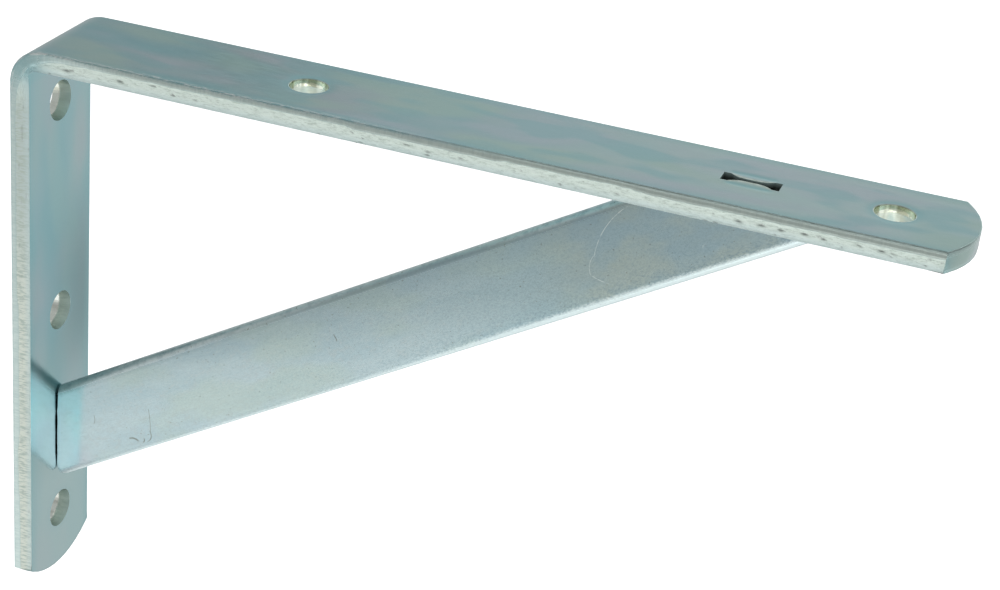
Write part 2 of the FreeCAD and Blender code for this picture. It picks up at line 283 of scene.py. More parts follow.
class PieceShader(Shader):
    """A node material that follows its piece's own attributes."""

    def __init__(self, name: str) -> None:
        """Starts the material, and splits the flat place into its three coordinates.

        Args:
            name: The material's name.
        """
        super().__init__(name)
        self.flat = self.node("Attribute", attribute_name="flat").outputs["Vector"]
        self.along, self.across, self.depth = self.node("SeparateXYZ", {0: self.flat}).outputs

    def trait(self, name: str) -> Socket:
        """One of the piece's traits."""
        return self.node("Attribute", attribute_name=name).outputs["Fac"]

    def noise(self, stretch: Triple, detail: float = 3.0, rough: float = 0.55,
              shift: Triple = (0.0, 0.0, 0.0)) -> Socket:
        """Noise over the flat place.

        Args:
            stretch: Cells per millimetre along each coordinate.
            detail: Number of finer layers.
            rough: Strength of the finer layers.
            shift: Where in the noise the piece lies.

        Returns:
            The noise's value, about 0.3 to 0.7.
        """
        mapped = self.node("Mapping", {"Vector": self.flat, "Scale": stretch, "Location": shift})
        made = self.node("TexNoise", {"Vector": mapped.outputs[0], "Scale": 1.0, "Detail": detail,
                                      "Roughness": rough})
        return made.outputs["Fac"]

    def ramp(self, value: Socket, low: float, high: float, start: float = 0.0, end: float = 1.0) -> Socket:
        """A value carried smoothly from low..high to start..end."""
        inputs = {"Value": value, "From Min": low, "From Max": high, "To Min": start, "To Max": end}
        return self.node("MapRange", inputs, interpolation_type="SMOOTHSTEP").outputs[0]

    def mix(self, share: Socket, first: Socket | Colour, second: Socket | Colour) -> Socket:
        """A colour between two colours.

        Args:
            share: How much of the second colour, 0 to 1.
            first: The first colour.
            second: The second colour.

        Returns:
            The colour's socket.
        """
        made = self.node("Mix", {0: share}, data_type="RGBA")
        for socket, value in ((made.inputs[6], first), (made.inputs[7], second)):
            self.feed(socket, value if isinstance(value, Socket) else (*value, 1.0))
        return made.outputs[2]

    def blend(self, share: Socket, first: Socket | float, second: Socket | float) -> Socket:
        """A value between two values, by a share from 0 to 1."""
        return self.node("Mix", {0: share, 2: first, 3: second}).outputs[0]

    def line(self, distance: Socket, width: float) -> Socket:
        """A soft line: 1 where a distance is 0, and 0 from the line's half width on."""
        return self.ramp(self.maths("ABSOLUTE", distance), 0.0, width, 1.0, 0.0)

    def bump(self, height: Socket, strength: float, distance: float) -> Socket:
        """The normal of a surface that a height raises by up to a distance in metres."""
        inputs = {"Strength": strength, "Distance": distance, "Height": height}
        return self.node("Bump", inputs).outputs[0]


@dataclass(frozen=True)
class StripFinish:
    """Blue passivated zinc on sheared strip: glossy tinted skins, rubbed and torn zones on the edges."""

    blue: Colour = (0.26, 0.49, 0.53)
    grey: Colour = (0.37, 0.53, 0.54)
    pink: Colour = (0.39, 0.50, 0.53)
    green: Colour = (0.40, 0.58, 0.52)
    lilac: Colour = (0.46, 0.55, 0.61)
    fleck: Colour = (0.95, 0.97, 0.95)
    pale: Colour = (0.48, 0.63, 0.63)
    teal: Colour = (0.27, 0.52, 0.55)
    wall_painted_shade: Colour = (0.17, 0.30, 0.32)
    rubbed_dark: Colour = (0.34, 0.40, 0.375)
    rubbed_light: Colour = (0.40, 0.46, 0.425)
    drawn_dark: Colour = (0.54, 0.67, 0.65)
    drawn_light: Colour = (0.68, 0.79, 0.76)
    tear: Colour = (0.88, 1.0, 0.93)
    tear_cream: Colour = (0.88, 0.95, 0.86)
    tear_shade: Colour = (0.59, 0.70, 0.63)
    tear_rim: Colour = (0.72, 0.88, 0.89)
    bore_light: Colour = (0.85, 0.92, 0.79)
    bore_shade: Colour = (0.45, 0.48, 0.35)
    bore_dull: Colour = (0.28, 0.41, 0.38)
    bore_painted_reflection: Colour = (0.97, 0.99, 0.98)
    # near black: painted shade in the pits, the rolled corner's groove and the slots, and a real smudge
    marks_and_painted_shade: Colour = (0.05, 0.065, 0.06)
    gloss: float = 0.17
    rubbed_rough: float = 0.34
    tear_rough: float = 0.55
    tear_metal: float = 0.45
    bore_metal: float = 0.95
    bore_rough: float = 0.13
    cone_rough: float = 0.24
    relief: float = 0.0004

    def skin(self, shader: PieceShader) -> Socket:
        """The skins' colour: blue near the bend, paler towards the shelf tip, in soft patches.

        The wall arm is painted paler at its low end and near the bend, and darker between: painted light and
        painted shade that stand for its reflections. The near edge of the shelf arm's outer skin is scuffed
        near the bend and chipped further out, where painted shade also darkens its rolled corner.

        Args:
            shader: The material in the making.

        Returns:
            The colour's socket.
        """
        ramp, mix, times, noise = shader.ramp, shader.mix, shader.times, shader.noise
        along, across = shader.along, shader.across
        drift = noise((0.022, 0.06, 0.06), 1.0, 0.5)
        patch = noise((0.035, 0.07, 0.06), 1.5, 0.5, (17.0, 5.0, 2.0))
        colour = mix(ramp(drift, 0.34, 0.66), self.blue, self.grey)
        colour = mix(ramp(patch, 0.42, 0.72), colour, self.pink)
        colour = mix(ramp(along, 40.0, 190.0, 0.0, 0.75), colour, self.pale)
        calm = ramp(along, -15.0, 20.0, 0.35, 1.0)
        tint = noise((0.03, 0.075, 0.1), 1.0, 0.5, (31.0, 8.0, 4.0))
        film = noise((0.045, 0.11, 0.1), 1.5, 0.5, (44.0, 3.0, 9.0))
        colour = mix(times(ramp(tint, 0.50, 0.66, 0.0, 0.6), calm), colour, self.green)
        colour = mix(times(ramp(tint, 0.34, 0.50, 0.6, 0.0), calm), colour, self.lilac)
        colour = mix(times(ramp(film, 0.48, 0.62, 0.0, 0.55), calm), colour, self.teal)
        # painted light: the wall arm is paler at its low end and near the bend, standing for its reflections
        low = ramp(along, -127.0, -108.0, 0.65, 0.0)
        high = times(ramp(along, -60.0, -30.0, 0.0, 0.22), ramp(along, -4.0, 4.0, 1.0, 0.0))
        colour = mix(shader.maths("ADD", low, high), colour, self.pale)
        # painted shade: the wall arm's middle is darker, most towards its far side, standing for its
        # reflections
        shade = times(ramp(along, -104.0, -78.0), ramp(along, -72.0, -36.0, 1.0, 0.0),
                      ramp(across, -12.0, 15.0, 0.05, 0.75))
        colour = mix(shade, colour, self.wall_painted_shade)
        edge = ramp(shader.maths("ABSOLUTE", across), 11.0, 15.0, 0.0, 0.45)
        colour = mix(edge, colour, self.teal)
        outer = ramp(shader.depth, 0.5, 1.0, 1.0, 0.0)
        scuff = ramp(noise((0.4, 2.4, 2.0), 4.0, 0.7, (3.0, 2.0, 0.0)), 0.45, 0.60)
        reach = times(ramp(across, -14.9, -13.2, 1.0, 0.0), ramp(along, 55.0, 115.0, 0.75, 0.0), outer)
        colour = mix(times(scuff, reach), colour, self.fleck)
        # partly chips, partly painted shade: a dark ragged line where the rolled corner meets the outer skin
        chip_and_shade = ramp(noise((0.7, 1.0, 1.0), 3.0, 0.7, (1.0, 4.0, 8.0)), 0.36, 0.52, 0.25, 0.9)
        brink = times(ramp(across, -14.9, -14.45, 1.0, 0.0), ramp(along, 90.0, 130.0), outer)
        return mix(times(chip_and_shade, brink), colour, self.marks_and_painted_shade)

    def rubbed(self, shader: PieceShader, drag: Socket) -> Socket:
        """The rubbed zones' colour: drag lines, pale on the wall arm and near the bend, greyer further out.

        Args:
            shader: The material in the making.
            drag: The drag lines, about 0.3 to 0.7.

        Returns:
            The colour's socket.
        """
        lines = shader.ramp(drag, 0.26, 0.74)
        near = shader.mix(lines, self.drawn_dark, self.drawn_light)
        far = shader.mix(lines, self.rubbed_dark, self.rubbed_light)
        share = shader.maths("ADD", shader.ramp(shader.along, 2.0, 25.0, 0.0, 0.7),
                             shader.ramp(shader.along, 70.0, 125.0, 0.0, 0.3))
        return shader.mix(share, near, far)

    def tears(self, shader: PieceShader) -> Socket:
        """The torn zones' colour: pale, layered lengthwise, streaked across on the wall arm, bluer low down.

        Args:
            shader: The material in the making.

        Returns:
            The colour's socket.
        """
        ramp, mix, noise = shader.ramp, shader.mix, shader.noise
        on_wall = ramp(shader.along, -18.0, -10.0, 1.0, 0.0)
        speck = ramp(noise((0.6, 1.6, 2.8), 5.0, 0.8), 0.32, 0.55)
        streak = ramp(noise((2.4, 1.0, 0.5), 2.0, 0.6, (4.0, 1.0, 7.0)), 0.36, 0.58)
        tear = mix(speck, self.tear_shade, self.tear)
        cream = mix(ramp(shader.along, -70.0, -35.0), self.tear_cream, self.drawn_light)
        colour = mix(on_wall, tear, mix(streak, self.tear_shade, cream))
        return mix(ramp(shader.depth, 2.9, 4.85, 0.0, 0.55), colour, self.tear_rim)

    def bored(self, shader: PieceShader, cone: Socket) -> Socket:
        """The holes' colour: striped down the smooth part, paler on the wall arm, and a dull torn cone.

        On the wall arm the paler colour is a painted reflection.

        Args:
            shader: The material in the making.
            cone: Where the torn cone is, 0 to 1.

        Returns:
            The colour's socket.
        """
        ramp, mix, times, noise = shader.ramp, shader.mix, shader.times, shader.noise
        ream = ramp(noise((0.55, 0.55, 0.05), 1.5, 0.5, (1.0, 6.0, 3.0)), 0.34, 0.62)
        dull = ramp(noise((0.2, 0.2, 0.15), 1.0, 0.5, (9.0, 2.0, 6.0)), 0.44, 0.58, 0.1, 0.8)
        on_wall = ramp(shader.along, -25.0, -10.0, 1.0, 0.0)
        colour = mix(ream, self.bore_shade, self.bore_light)
        # painted reflection: the wall arm's bores are painted paler
        colour = mix(times(on_wall, 0.55), colour, self.bore_painted_reflection)
        return mix(times(shader.blend(on_wall, dull, 0.75), cone), colour, self.bore_dull)

    def material(self) -> bpy.types.Material:
        """Makes the material: tinted skins, drag lines where the blade rubbed, layers where metal tore.

        Returns:
            The new material.
        """
        shader = PieceShader("strip_zinc")
        mix, blend, noise = shader.mix, shader.blend, shader.noise
        torn, stain, rubbed, bore = (shader.trait(name) for name in TRAITS)
        drag = noise((2.4, 0.5, 0.25), 3.0, 0.6)
        cone = shader.ramp(torn, 0.05, 0.25)
        colour = mix(stain, self.skin(shader), self.teal)
        colour = mix(rubbed, colour, self.rubbed(shader, drag))
        colour = mix(bore, colour, self.bored(shader, cone))
        # painted shade: on torn metal the stain trait paints pits, grooves and slots near black; a smudge is
        # real
        colour = mix(torn, colour, mix(stain, self.tears(shader), self.marks_and_painted_shade))
        metal = blend(torn, blend(bore, 1.0, self.bore_metal), self.tear_metal)
        polish = shader.ramp(noise((0.2, 0.8, 0.8), 4.0), 0.3, 0.7, self.gloss - 0.03, self.gloss + 0.04)
        bore_rough = blend(cone, self.bore_rough, self.cone_rough)
        rough = blend(bore, blend(rubbed, polish, self.rubbed_rough), bore_rough)
        rough = blend(torn, rough, self.tear_rough)
        fine = shader.times(noise((0.25, 3.0, 3.0), 4.0, 0.6), 0.025)
        burr = noise((1.0, 1.8, 2.4), 5.0, 0.8)
        height = blend(torn, blend(rubbed, fine, shader.times(drag, 0.06)), burr)
        normal = shader.bump(height, 0.5, self.relief)
        shader.set({"Base Color": colour, "Metallic": metal, "Roughness": rough, "Normal": normal})
        return shader.material


@dataclass(frozen=True)
class Scratch:
    """A thin arc on the strut's near face: part of a circle, past or before its centre, between heights."""

    along: float
    across: float
    radius: float
    low: float
    high: float
    width: float = 0.14
    before: bool = False


@dataclass(frozen=True)
class StrutFinish:
    """Blue passivated zinc on rolled flat bar: satin, faintly mottled, with handling scratches and marks."""

    light: Colour = (0.50, 0.62, 0.64)
    shade: Colour = (0.45, 0.58, 0.61)
    warm: Colour = (0.50, 0.58, 0.58)
    olive: Colour = (0.49, 0.60, 0.53)
    # a teal tint, and painted shade that darkens the face towards the head
    teal: Colour = (0.36, 0.52, 0.55)
    scratch: Colour = (0.80, 0.86, 0.82)
    bronze: Colour = (0.46, 0.53, 0.48)
    steel: Colour = (0.37, 0.49, 0.525)
    lilac: Colour = (0.51, 0.54, 0.58)
    mark: Colour = (0.17, 0.18, 0.14)
    # dark grit, and painted shade in the band below the upper edge
    dull: Colour = (0.25, 0.36, 0.405)
    # painted highlight on both edges of the face
    worn: Colour = (0.76, 0.87, 0.87)
    # painted shade on the tenons, which sit down in the slots
    tenon_shade: Colour = (0.05, 0.065, 0.06)
    gloss: float = 0.17
    edge_rough: float = 0.26
    relief: float = 0.00003
    fade: float = 0.3
    scratches: tuple[Scratch, ...] = (
        Scratch(178.0, -10.0, 20.1, 0.9, 9.6, 0.13, True),
        Scratch(168.9, 4.1, 12.6, -6.6, -3.3, 0.12, True),
        Scratch(187.2, -5.1, 1.05, -4.7, -3.9, 0.16, True),
        Scratch(163.6, -3.4, 5.2, -3.0, 1.4, 0.08, True),
    )
    marks: tuple[Scratch, ...] = (
        Scratch(20.4, -9.4, 2.25, -8.6, -7.0, 0.42),
        Scratch(23.5, -8.4, 0.96, -9.4, -8.4, 0.28),
        Scratch(24.9, -7.2, 2.3, -9.5, -7.0, 0.22),
        Scratch(-3.3, 11.0, 35.6, -7.4, -1.2, 0.12),
        Scratch(10.6, 2.0, 3.2, -0.6, 1.6, 0.12),
        Scratch(85.1, 1.4, 4.66, 0.5, 2.4, 0.2),
    )

    def lines(self, shader: PieceShader, arcs: tuple[Scratch, ...]) -> Socket:
        """Where any arc runs: near its circle, on its half, between its two heights, on the near face.

        Args:
            shader: The material in the making.
            arcs: The arcs.

        Returns:
            A share from 0 to 1.
        """
        ramp, maths = shader.ramp, shader.maths
        along, across = shader.along, shader.across
        plane = shader.node("CombineXYZ", {0: along, 1: across}).outputs[0]
        total = 0.0
        for arc in arcs:
            centre = (arc.along, arc.across, 0.0)
            away = shader.node("VectorMath", {0: plane, 1: centre}, operation="DISTANCE").outputs["Value"]
            line = shader.line(maths("SUBTRACT", away, arc.radius), arc.width)
            start = ramp(across, arc.low - self.fade, arc.low + self.fade)
            end = ramp(across, arc.high - self.fade, arc.high + self.fade, 1.0, 0.0)
            half = maths("LESS_THAN" if arc.before else "GREATER_THAN", along, arc.along)
            total = maths("MAXIMUM", total, shader.times(line, half, start, end))
        return shader.times(total, ramp(shader.depth, -1.5, -0.5, 0.8, 0.0))

    def face(self, shader: PieceShader, mottle: Socket) -> Socket:
        """The face's colour: soft patches, teal, bronze and steel towards the head, lilac at the foot.

        The teal also darkens the face towards the head as painted shade.

        Args:
            shader: The material in the making.
            mottle: Fine patches, about 0.3 to 0.7.

        Returns:
            The colour's socket.
        """
        ramp, mix, noise, along = shader.ramp, shader.mix, shader.noise, shader.along
        drift = noise((0.025, 0.10, 0.1), 3.0, 0.6)
        patch = noise((0.035, 0.08, 0.05), 2.0, 0.55, (12.0, 4.0, 1.0))
        drawn = noise((0.07, 0.12, 0.1), 2.5, 0.6, (5.0, 2.0, 9.0))
        colour = mix(ramp(drift, 0.38, 0.60), self.shade, self.light)
        colour = mix(ramp(mottle, 0.44, 0.80, 0.0, 0.7), colour, self.warm)
        # partly tint, partly painted shade: teal darkens the face towards the head, where its reflection is
        # darker
        colour = mix(ramp(along, 90.0, 190.0, 0.0, 0.8), colour, self.teal)
        colour = mix(ramp(patch, 0.48, 0.64, 0.0, 0.45), colour, self.olive)
        head = mix(ramp(drawn, 0.34, 0.66), self.bronze, self.steel)
        colour = mix(ramp(along, 138.0, 165.0, 0.0, 0.75), colour, head)
        return mix(ramp(along, 2.0, 9.0, 0.7, 0.0), colour, self.lilac)

    def wear(self, shader: PieceShader, colour: Socket, mottle: Socket) -> Socket:
        """Wear and painted light over the face's colour: dark grit, a band of painted shade below the upper
        edge, and painted highlights that make both edges pale.

        Args:
            shader: The material in the making.
            colour: The face's colour.
            mottle: Fine patches, about 0.3 to 0.7.

        Returns:
            The colour's socket.
        """
        ramp, mix, times, maths = shader.ramp, shader.mix, shader.times, shader.maths
        along, across = shader.along, shader.across
        grit = shader.noise((1.7, 2.4, 2.4), 3.0, 0.7, (6.0, 1.0, 2.0))
        further = ramp(along, 50.0, 170.0)
        low_right = times(ramp(across, -9.6, -5.5, 0.35, 0.0), further)
        amount = maths("ADD", shader.blend(further, 0.16, 0.36), low_right)
        colour = mix(times(ramp(grit, 0.42, 0.66), amount), colour, self.dull)
        # painted shade: a dull band below the upper edge, for the dark reflection of the upper round
        top_painted_shade = times(ramp(across, 3.5, 9.2), ramp(along, 10.0, 110.0, 0.1, 0.28))
        colour = mix(top_painted_shade, colour, self.dull)
        # painted highlight: the lower edge is painted pale, for the lower round's bright reflection
        ragged = maths("ADD", across, ramp(grit, 0.35, 0.65, -0.2, 0.2))
        ragged = maths("SUBTRACT", ragged, ramp(along, 70.0, 170.0, 0.0, 1.2))
        colour = mix(ramp(ragged, -11.2, -10.1, 0.8, 0.0), colour, self.worn)
        # painted highlight: a pale line along the upper edge, for the upper round's light reflection
        brow = maths("SUBTRACT", across, ramp(along, 30.0, 125.0, 0.0, 1.1))
        brow = maths("ADD", brow, ramp(along, 125.0, 155.0, 0.0, 0.6))
        top_highlight = times(ramp(brow, 9.5, 10.6), ramp(mottle, 0.40, 0.55, 0.6, 1.0))
        return mix(top_highlight, colour, self.worn)

    def material(self) -> bpy.types.Material:
        """Makes the material: the worn face, its specks, marks and scratches, and tenons in painted shade.

        Returns:
            The new material.
        """
        shader = PieceShader("strut_zinc")
        ramp, mix, noise = shader.ramp, shader.mix, shader.noise
        mottle = noise((0.5, 0.7, 0.7), 4.0, 0.7, (3.0, 9.0, 1.0))
        colour = self.wear(shader, self.face(shader, mottle), mottle)
        speck = ramp(noise((1.5, 1.5, 1.5), 2.0, 0.5, (8.0, 3.0, 5.0)), 0.68, 0.75, 0.0, 0.6)
        dark = shader.maths("MAXIMUM", speck, self.lines(shader, self.marks))
        colour = mix(dark, colour, self.mark)
        broken = ramp(noise((0.6, 0.6, 0.6), 2.0, 0.6, (2.0, 7.0, 0.0)), 0.36, 0.54, 0.15, 1.0)
        thin = shader.times(self.lines(shader, self.scratches), broken)
        colour = mix(thin, colour, self.scratch)
        # painted shade: the tenons, down in the slots, are painted near black
        colour = mix(shader.trait("stain"), colour, self.tenon_shade)
        polish = ramp(mottle, 0.3, 0.7, self.gloss - 0.02, self.gloss + 0.04)
        at_edge = ramp(shader.maths("ABSOLUTE", shader.across), 9.4, 10.6, 0.0, self.edge_rough)
        rough = shader.maths("ADD", polish, at_edge)
        normal = shader.bump(noise((0.35, 2.2, 2.2), 4.0, 0.65), 0.15, self.relief)
        shader.set({"Base Color": colour, "Metallic": 1.0, "Roughness": rough, "Normal": normal})
        return shader.material


@dataclass(frozen=True)
class EdgeRun:
    """The strip's outline once round: its points, and a column of values with one row for each point.

    The ways say how one millimetre of inset moves each point. The stretch is the way walked round. From 0
    to 1, near, arc, wall and bend say how far a point is on the near side, on a tip's arc, on the wall arm
    and in the bend.
    """

    points: Array
    ways: Array
    stretch: Array
    near: Array
    arc: Array
    wall: Array
    bend: Array

    @property
    def along(self) -> Array:
        """The points' places along the strip."""
        return self.points[:, :1]


@dataclass
class BentStrip:
    """The flat strip: sheared, punched and bent once, with a wavy torn zone on every cut edge.

    Its flat place is (along, across, depth): along is 0 where the bend ends on the shelf arm, positive
    towards the shelf arm's tip and negative round the bend and down the wall arm; depth is 0 on the
    outer skin.
    """

    width: float = 30.0
    thickness: float = 5.0
    shelf_reach: float = 225.0
    wall_drop: float = 150.0
    outer_bend: float = 8.8
    inner_bend: float = 1.5
    end_radius: float = 25.0
    edge_roll: float = 0.3
    smooth_zone: float = 1.5
    side_break: float = 0.3
    hole_radius: float = 4.5
    hole_roll: float = 0.3
    hole_break: float = 0.6
    hole_dip: float = 0.07
    dip_reach: float = 1.4
    shelf_holes: tuple[float, ...] = (69.5, 206.4)
    wall_holes: tuple[float, ...] = (17.5, 74.5, 133.5)
    shelf_slot: float = 174.7
    wall_slot: float = 109.8
    slot_length: float = 13.2
    slot_width: float = 4.4
    lip_depth: float = 1.2
    lip_opening: float = 1.3
    lip_open_end: float = 1.6
    lip_round: float = 0.06
    lip_flare: float = 3.2
    near_pits: tuple[Triple, ...] = (
        (14.9, 3.1, 1.6), (28.7, 2.9, 1.3), (175.8, 3.5, 1.2), (180.8, 3.3, 1.5), (185.0, 3.4, 0.9),
        (190.1, 3.1, 1.3), (194.2, 3.3, 0.8), (206.6, 3.1, 1.4),
    )
    cell_half: float = 8.5
    station_step: float = 0.4
    bend_step: float = 0.25
    bend_margin: float = 3.0
    cell_steps: int = 42
    edge_rows: tuple[float, ...] = (-1.0, -0.996, -0.94)
    middle_rows: int = 10
    roll_columns: int = 6
    smooth_columns: int = 3
    torn_columns: int = 13
    hole_roll_columns: int = 5
    hole_smooth_columns: int = 2
    hole_torn_columns: int = 9
    slot_end_steps: int = 4
    slot_open_steps: int = 5
    finish: StripFinish = field(default_factory=StripFinish)

    def __post_init__(self) -> None:
        """Works out the bend's length, the rows across, and where the openings lie along the strip."""
        self.bend_length = RIGHT_ANGLE * (self.outer_bend - self.thickness / 2.0)
        low = np.array(self.edge_rows)
        middle = np.linspace(low[-1], -low[-1], self.middle_rows + 1)
        self.rows = np.concatenate([low[:-1], middle, -low[-2::-1]])
        self.row_steps = len(self.rows) - 1
        self.loop_steps = 2 * (self.cell_steps + self.row_steps)
        self.holes = [self.along(Arm.SHELF, x) for x in self.shelf_holes]
        self.holes += [self.along(Arm.WALL, x) for x in self.wall_holes]
        self.slots = [self.along(Arm.SHELF, self.shelf_slot), self.along(Arm.WALL, self.wall_slot)]
        self.layout()

    def along(self, arm: Arm, distance: float) -> float:
        """Where a distance from the bracket's corner lies on the flat strip.

        Args:
            arm: The arm that the distance runs along.
            distance: The distance, in millimetres.

        Returns:
            The place along the strip.
        """
        if arm is Arm.SHELF:
            return distance - self.outer_bend
        return self.outer_bend - self.bend_length - distance

    def layout(self) -> None:
        """Lays the stations out in one rising row: a cell round each hole and slot, even steps between."""
        sag = self.end_radius - math.sqrt(self.end_radius**2 - (self.width / 2.0) ** 2)
        self.wall_corner = self.along(Arm.WALL, self.wall_drop) + sag
        self.shelf_corner = self.along(Arm.SHELF, self.shelf_reach) - sag
        half = self.cell_half
        stops = [(place - half, place + half, place) for place in self.holes + self.slots]
        stops += [(place, place, None) for place in (self.bend_margin, self.shelf_corner)]
        runs, self.cells, self.plain, start, reached = [], [], [], self.wall_corner, 0
        for low, high, middle in sorted(stops, key=lambda stop: stop[0]):
            step = self.bend_step if start < 0.0 < low else self.station_step
            steps = max(2, math.ceil((low - start) / step))
            runs.append(np.linspace(start, low, steps + 1)[:-1])
            self.plain.append((reached, reached + steps))
            reached += steps
            if middle is not None:
                runs.append(np.linspace(low, high, self.cell_steps + 1)[:-1])
                self.cells.append((reached, reached + self.cell_steps, middle))
                reached += self.cell_steps
            start = high
        self.stations = np.concatenate([*runs, [self.shelf_corner]])

    def inner_radius(self, turn: Array) -> Array:
        """How far the inner skin lies from the bend's axis, at an angle round it.

        The two inner faces lie one thickness nearer than the outer skin, so a ray meets one of them at that
        distance over the greater of its sine and cosine. Round the inner corner it meets the small arc
        instead: with the arc's centre at (k, k), at k times (sine + cosine) plus the root of that squared
        less twice k squared plus radius squared.

        Args:
            turn: Angles from the shelf arm's end of the bend.

        Returns:
            Distances from the bend's axis, in millimetres.
        """
        sine, cosine = np.sin(turn), np.cos(turn)
        reach = self.outer_bend - self.thickness
        centre = reach - self.inner_bend
        greater = np.maximum(sine, cosine)
        shift = centre * (sine + cosine)
        arc = shift + np.sqrt(np.maximum(shift**2 - 2.0 * centre**2 + self.inner_bend**2, 0.0))
        return np.where(np.minimum(sine, cosine) * reach > greater * centre, arc, reach / greater)

    def place(self, flat: Array) -> Array:
        """Bends flat places into the shared frame.

        Past the bend a point runs straight out along the shelf arm or down the wall arm. In the bend it
        lies on a ray from the bend's axis, between the outer arc and the inner skin by its share of the
        thickness.

        Args:
            flat: Places on the flat strip, in millimetres.

        Returns:
            Points of the shared frame, in metres.
        """
        along, across, depth = flat[..., 0], flat[..., 1], flat[..., 2]
        turn = np.clip(-along / self.bend_length, 0.0, 1.0) * RIGHT_ANGLE
        radius = self.outer_bend - depth / self.thickness * (self.outer_bend - self.inner_radius(turn))
        x = self.outer_bend - radius * np.sin(turn) + np.maximum(along, 0.0)
        drop = self.outer_bend - np.minimum(along + self.bend_length, 0.0)
        z = CORNER_HEIGHT + radius * np.cos(turn) - drop
        return np.stack([x, across, z], -1) * MM

    def edge_run(self) -> EdgeRun:
        """The strip's outline, once round: near side, shelf tip's arc, far side, wall tip's arc.

        An inset moves a point square to a side, along an arc's radius, and along the mitre at a corner.

        Returns:
            The outline.
        """
        half, sides = self.width / 2.0, len(self.stations)
        side = np.stack([self.stations, np.full_like(self.stations, -half)], -1)
        turn = np.arcsin(self.rows * half / self.end_radius)
        ray = np.stack([np.cos(turn), np.sin(turn)], -1)
        shelf_arc = ray * self.end_radius
        shelf_arc[:, 0] += self.along(Arm.SHELF, self.shelf_reach) - self.end_radius
        wall_arc = -ray * self.end_radius
        wall_arc[:, 0] += self.along(Arm.WALL, self.wall_drop) + self.end_radius
        flip = np.array([1.0, -1.0])
        points = np.concatenate([side, shelf_arc[1:], (side * flip)[-2::-1], wall_arc[1:-1]])
        square = np.broadcast_to(np.array([0.0, -1.0]), side.shape).copy()
        square[0], square[-1] = self.mitre(square[0], -ray[-1]), self.mitre(square[0], ray[0])
        ways = np.concatenate([square, ray[1:-1], (square * flip)[::-1], -ray[1:-1]])
        count, along = len(points), points[:, :1]
        near, arc = np.zeros((count, 1)), np.ones((count, 1))
        near[:sides] = 1.0
        arc[:sides] = 0.0
        arc[sides + self.row_steps - 1:2 * sides + self.row_steps - 1] = 0.0
        wall = ease(-along, self.bend_length, self.bend_length + 6.0)
        bend = bell(along + self.bend_length / 2.0, 5.5)
        stretch = np.arange(count)[:, None] * self.station_step
        return EdgeRun(points, -ways, stretch, near, arc, wall, bend)

    @staticmethod
    def mitre(first: Array, second: Array) -> Array:
        """The way that moves a corner one unit along both normals: their sum over 1 plus their dot."""
        return (first + second) / (1.0 + float(first @ second))

    def smooth_end(self, run: EdgeRun) -> Array:
        """How deep the smooth zone reaches: to a wavy, stepped line, deeper in the bend and on the arcs.

        Args:
            run: The outline.

        Returns:
            A depth for each point.
        """
        wavy = 0.20 * rough_grain(run.stretch / 14.0, 0.5, 11) + 0.10 * grain(run.stretch / 2.2, 0.5, 12)
        step = grain(run.stretch / 31.0, 0.5, 13)
        stepped = 0.22 * np.sign(step) * ease(np.abs(step), 0.02, 0.06)
        on_side = self.smooth_zone + wavy + stepped + 2.4 * run.bend
        on_arc = self.thickness - 0.9 + 0.2 * wavy
        depth = on_side * (1.0 - run.arc) + on_arc * run.arc
        return np.clip(depth, self.edge_roll + 0.25, self.thickness - 0.6)

    def pits(self, run: EdgeRun, depth: Array) -> Array:
        """Where the torn zone has pits: seeded ones all round, and long ones at set places on the near side.

        Args:
            run: The outline.
            depth: The torn zone's depths.

        Returns:
            A share from 0 to 1 over the torn zone's grid.
        """
        speckle = ease(rough_grain(run.stretch / 2.6, depth / 0.7, 33), 0.46, 0.7)
        found = 0.4 * speckle * (1.0 - 0.7 * run.wall)
        for place, level, length in self.near_pits:
            dent = bell(run.along - self.along(Arm.SHELF, place), 0.6 * length) * bell(depth - level, 0.25)
            found = np.maximum(found, 0.6 * dent * run.near)
        return found

    def smudge_and_groove_shade(self, run: EdgeRun, depth: Array) -> Array:
        """Where the edge is dark: a broken line of painted shade along the rolled corner's groove, a smudge
        in the near side's bend.

        Args:
            run: The outline.
            depth: The whole edge's depths.

        Returns:
            A share from 0 to 1 over the edge's grid, 0 where it meets the outer skin.
        """
        smudge = run.near * bell(run.along + 0.6 * self.bend_length, 1.3) * bell(depth - 3.6, 0.6)
        tip_arc_shade = run.arc * ease(run.along, 0.0, 1.0) * (0.5 + 0.5 * ease(-run.points[:, 1:], 5.0, 9.0))
        line = np.maximum(ease(run.along, 90.0, 125.0) * (1.0 - run.arc), tip_arc_shade)
        line = np.maximum(line, 0.4 * run.wall)
        # painted shade: the broken line darkens the rolled corner's groove, near the shelf tip, the arcs and
        # the wall arm
        burr = bell(depth - 0.16, 0.2) * line * (0.75 + 0.25 * grain(run.stretch / 0.9, 0.5, 51))
        dark = np.maximum(0.35 * smudge, 0.95 * burr)
        dark[:, 0] = 0.0
        return dark

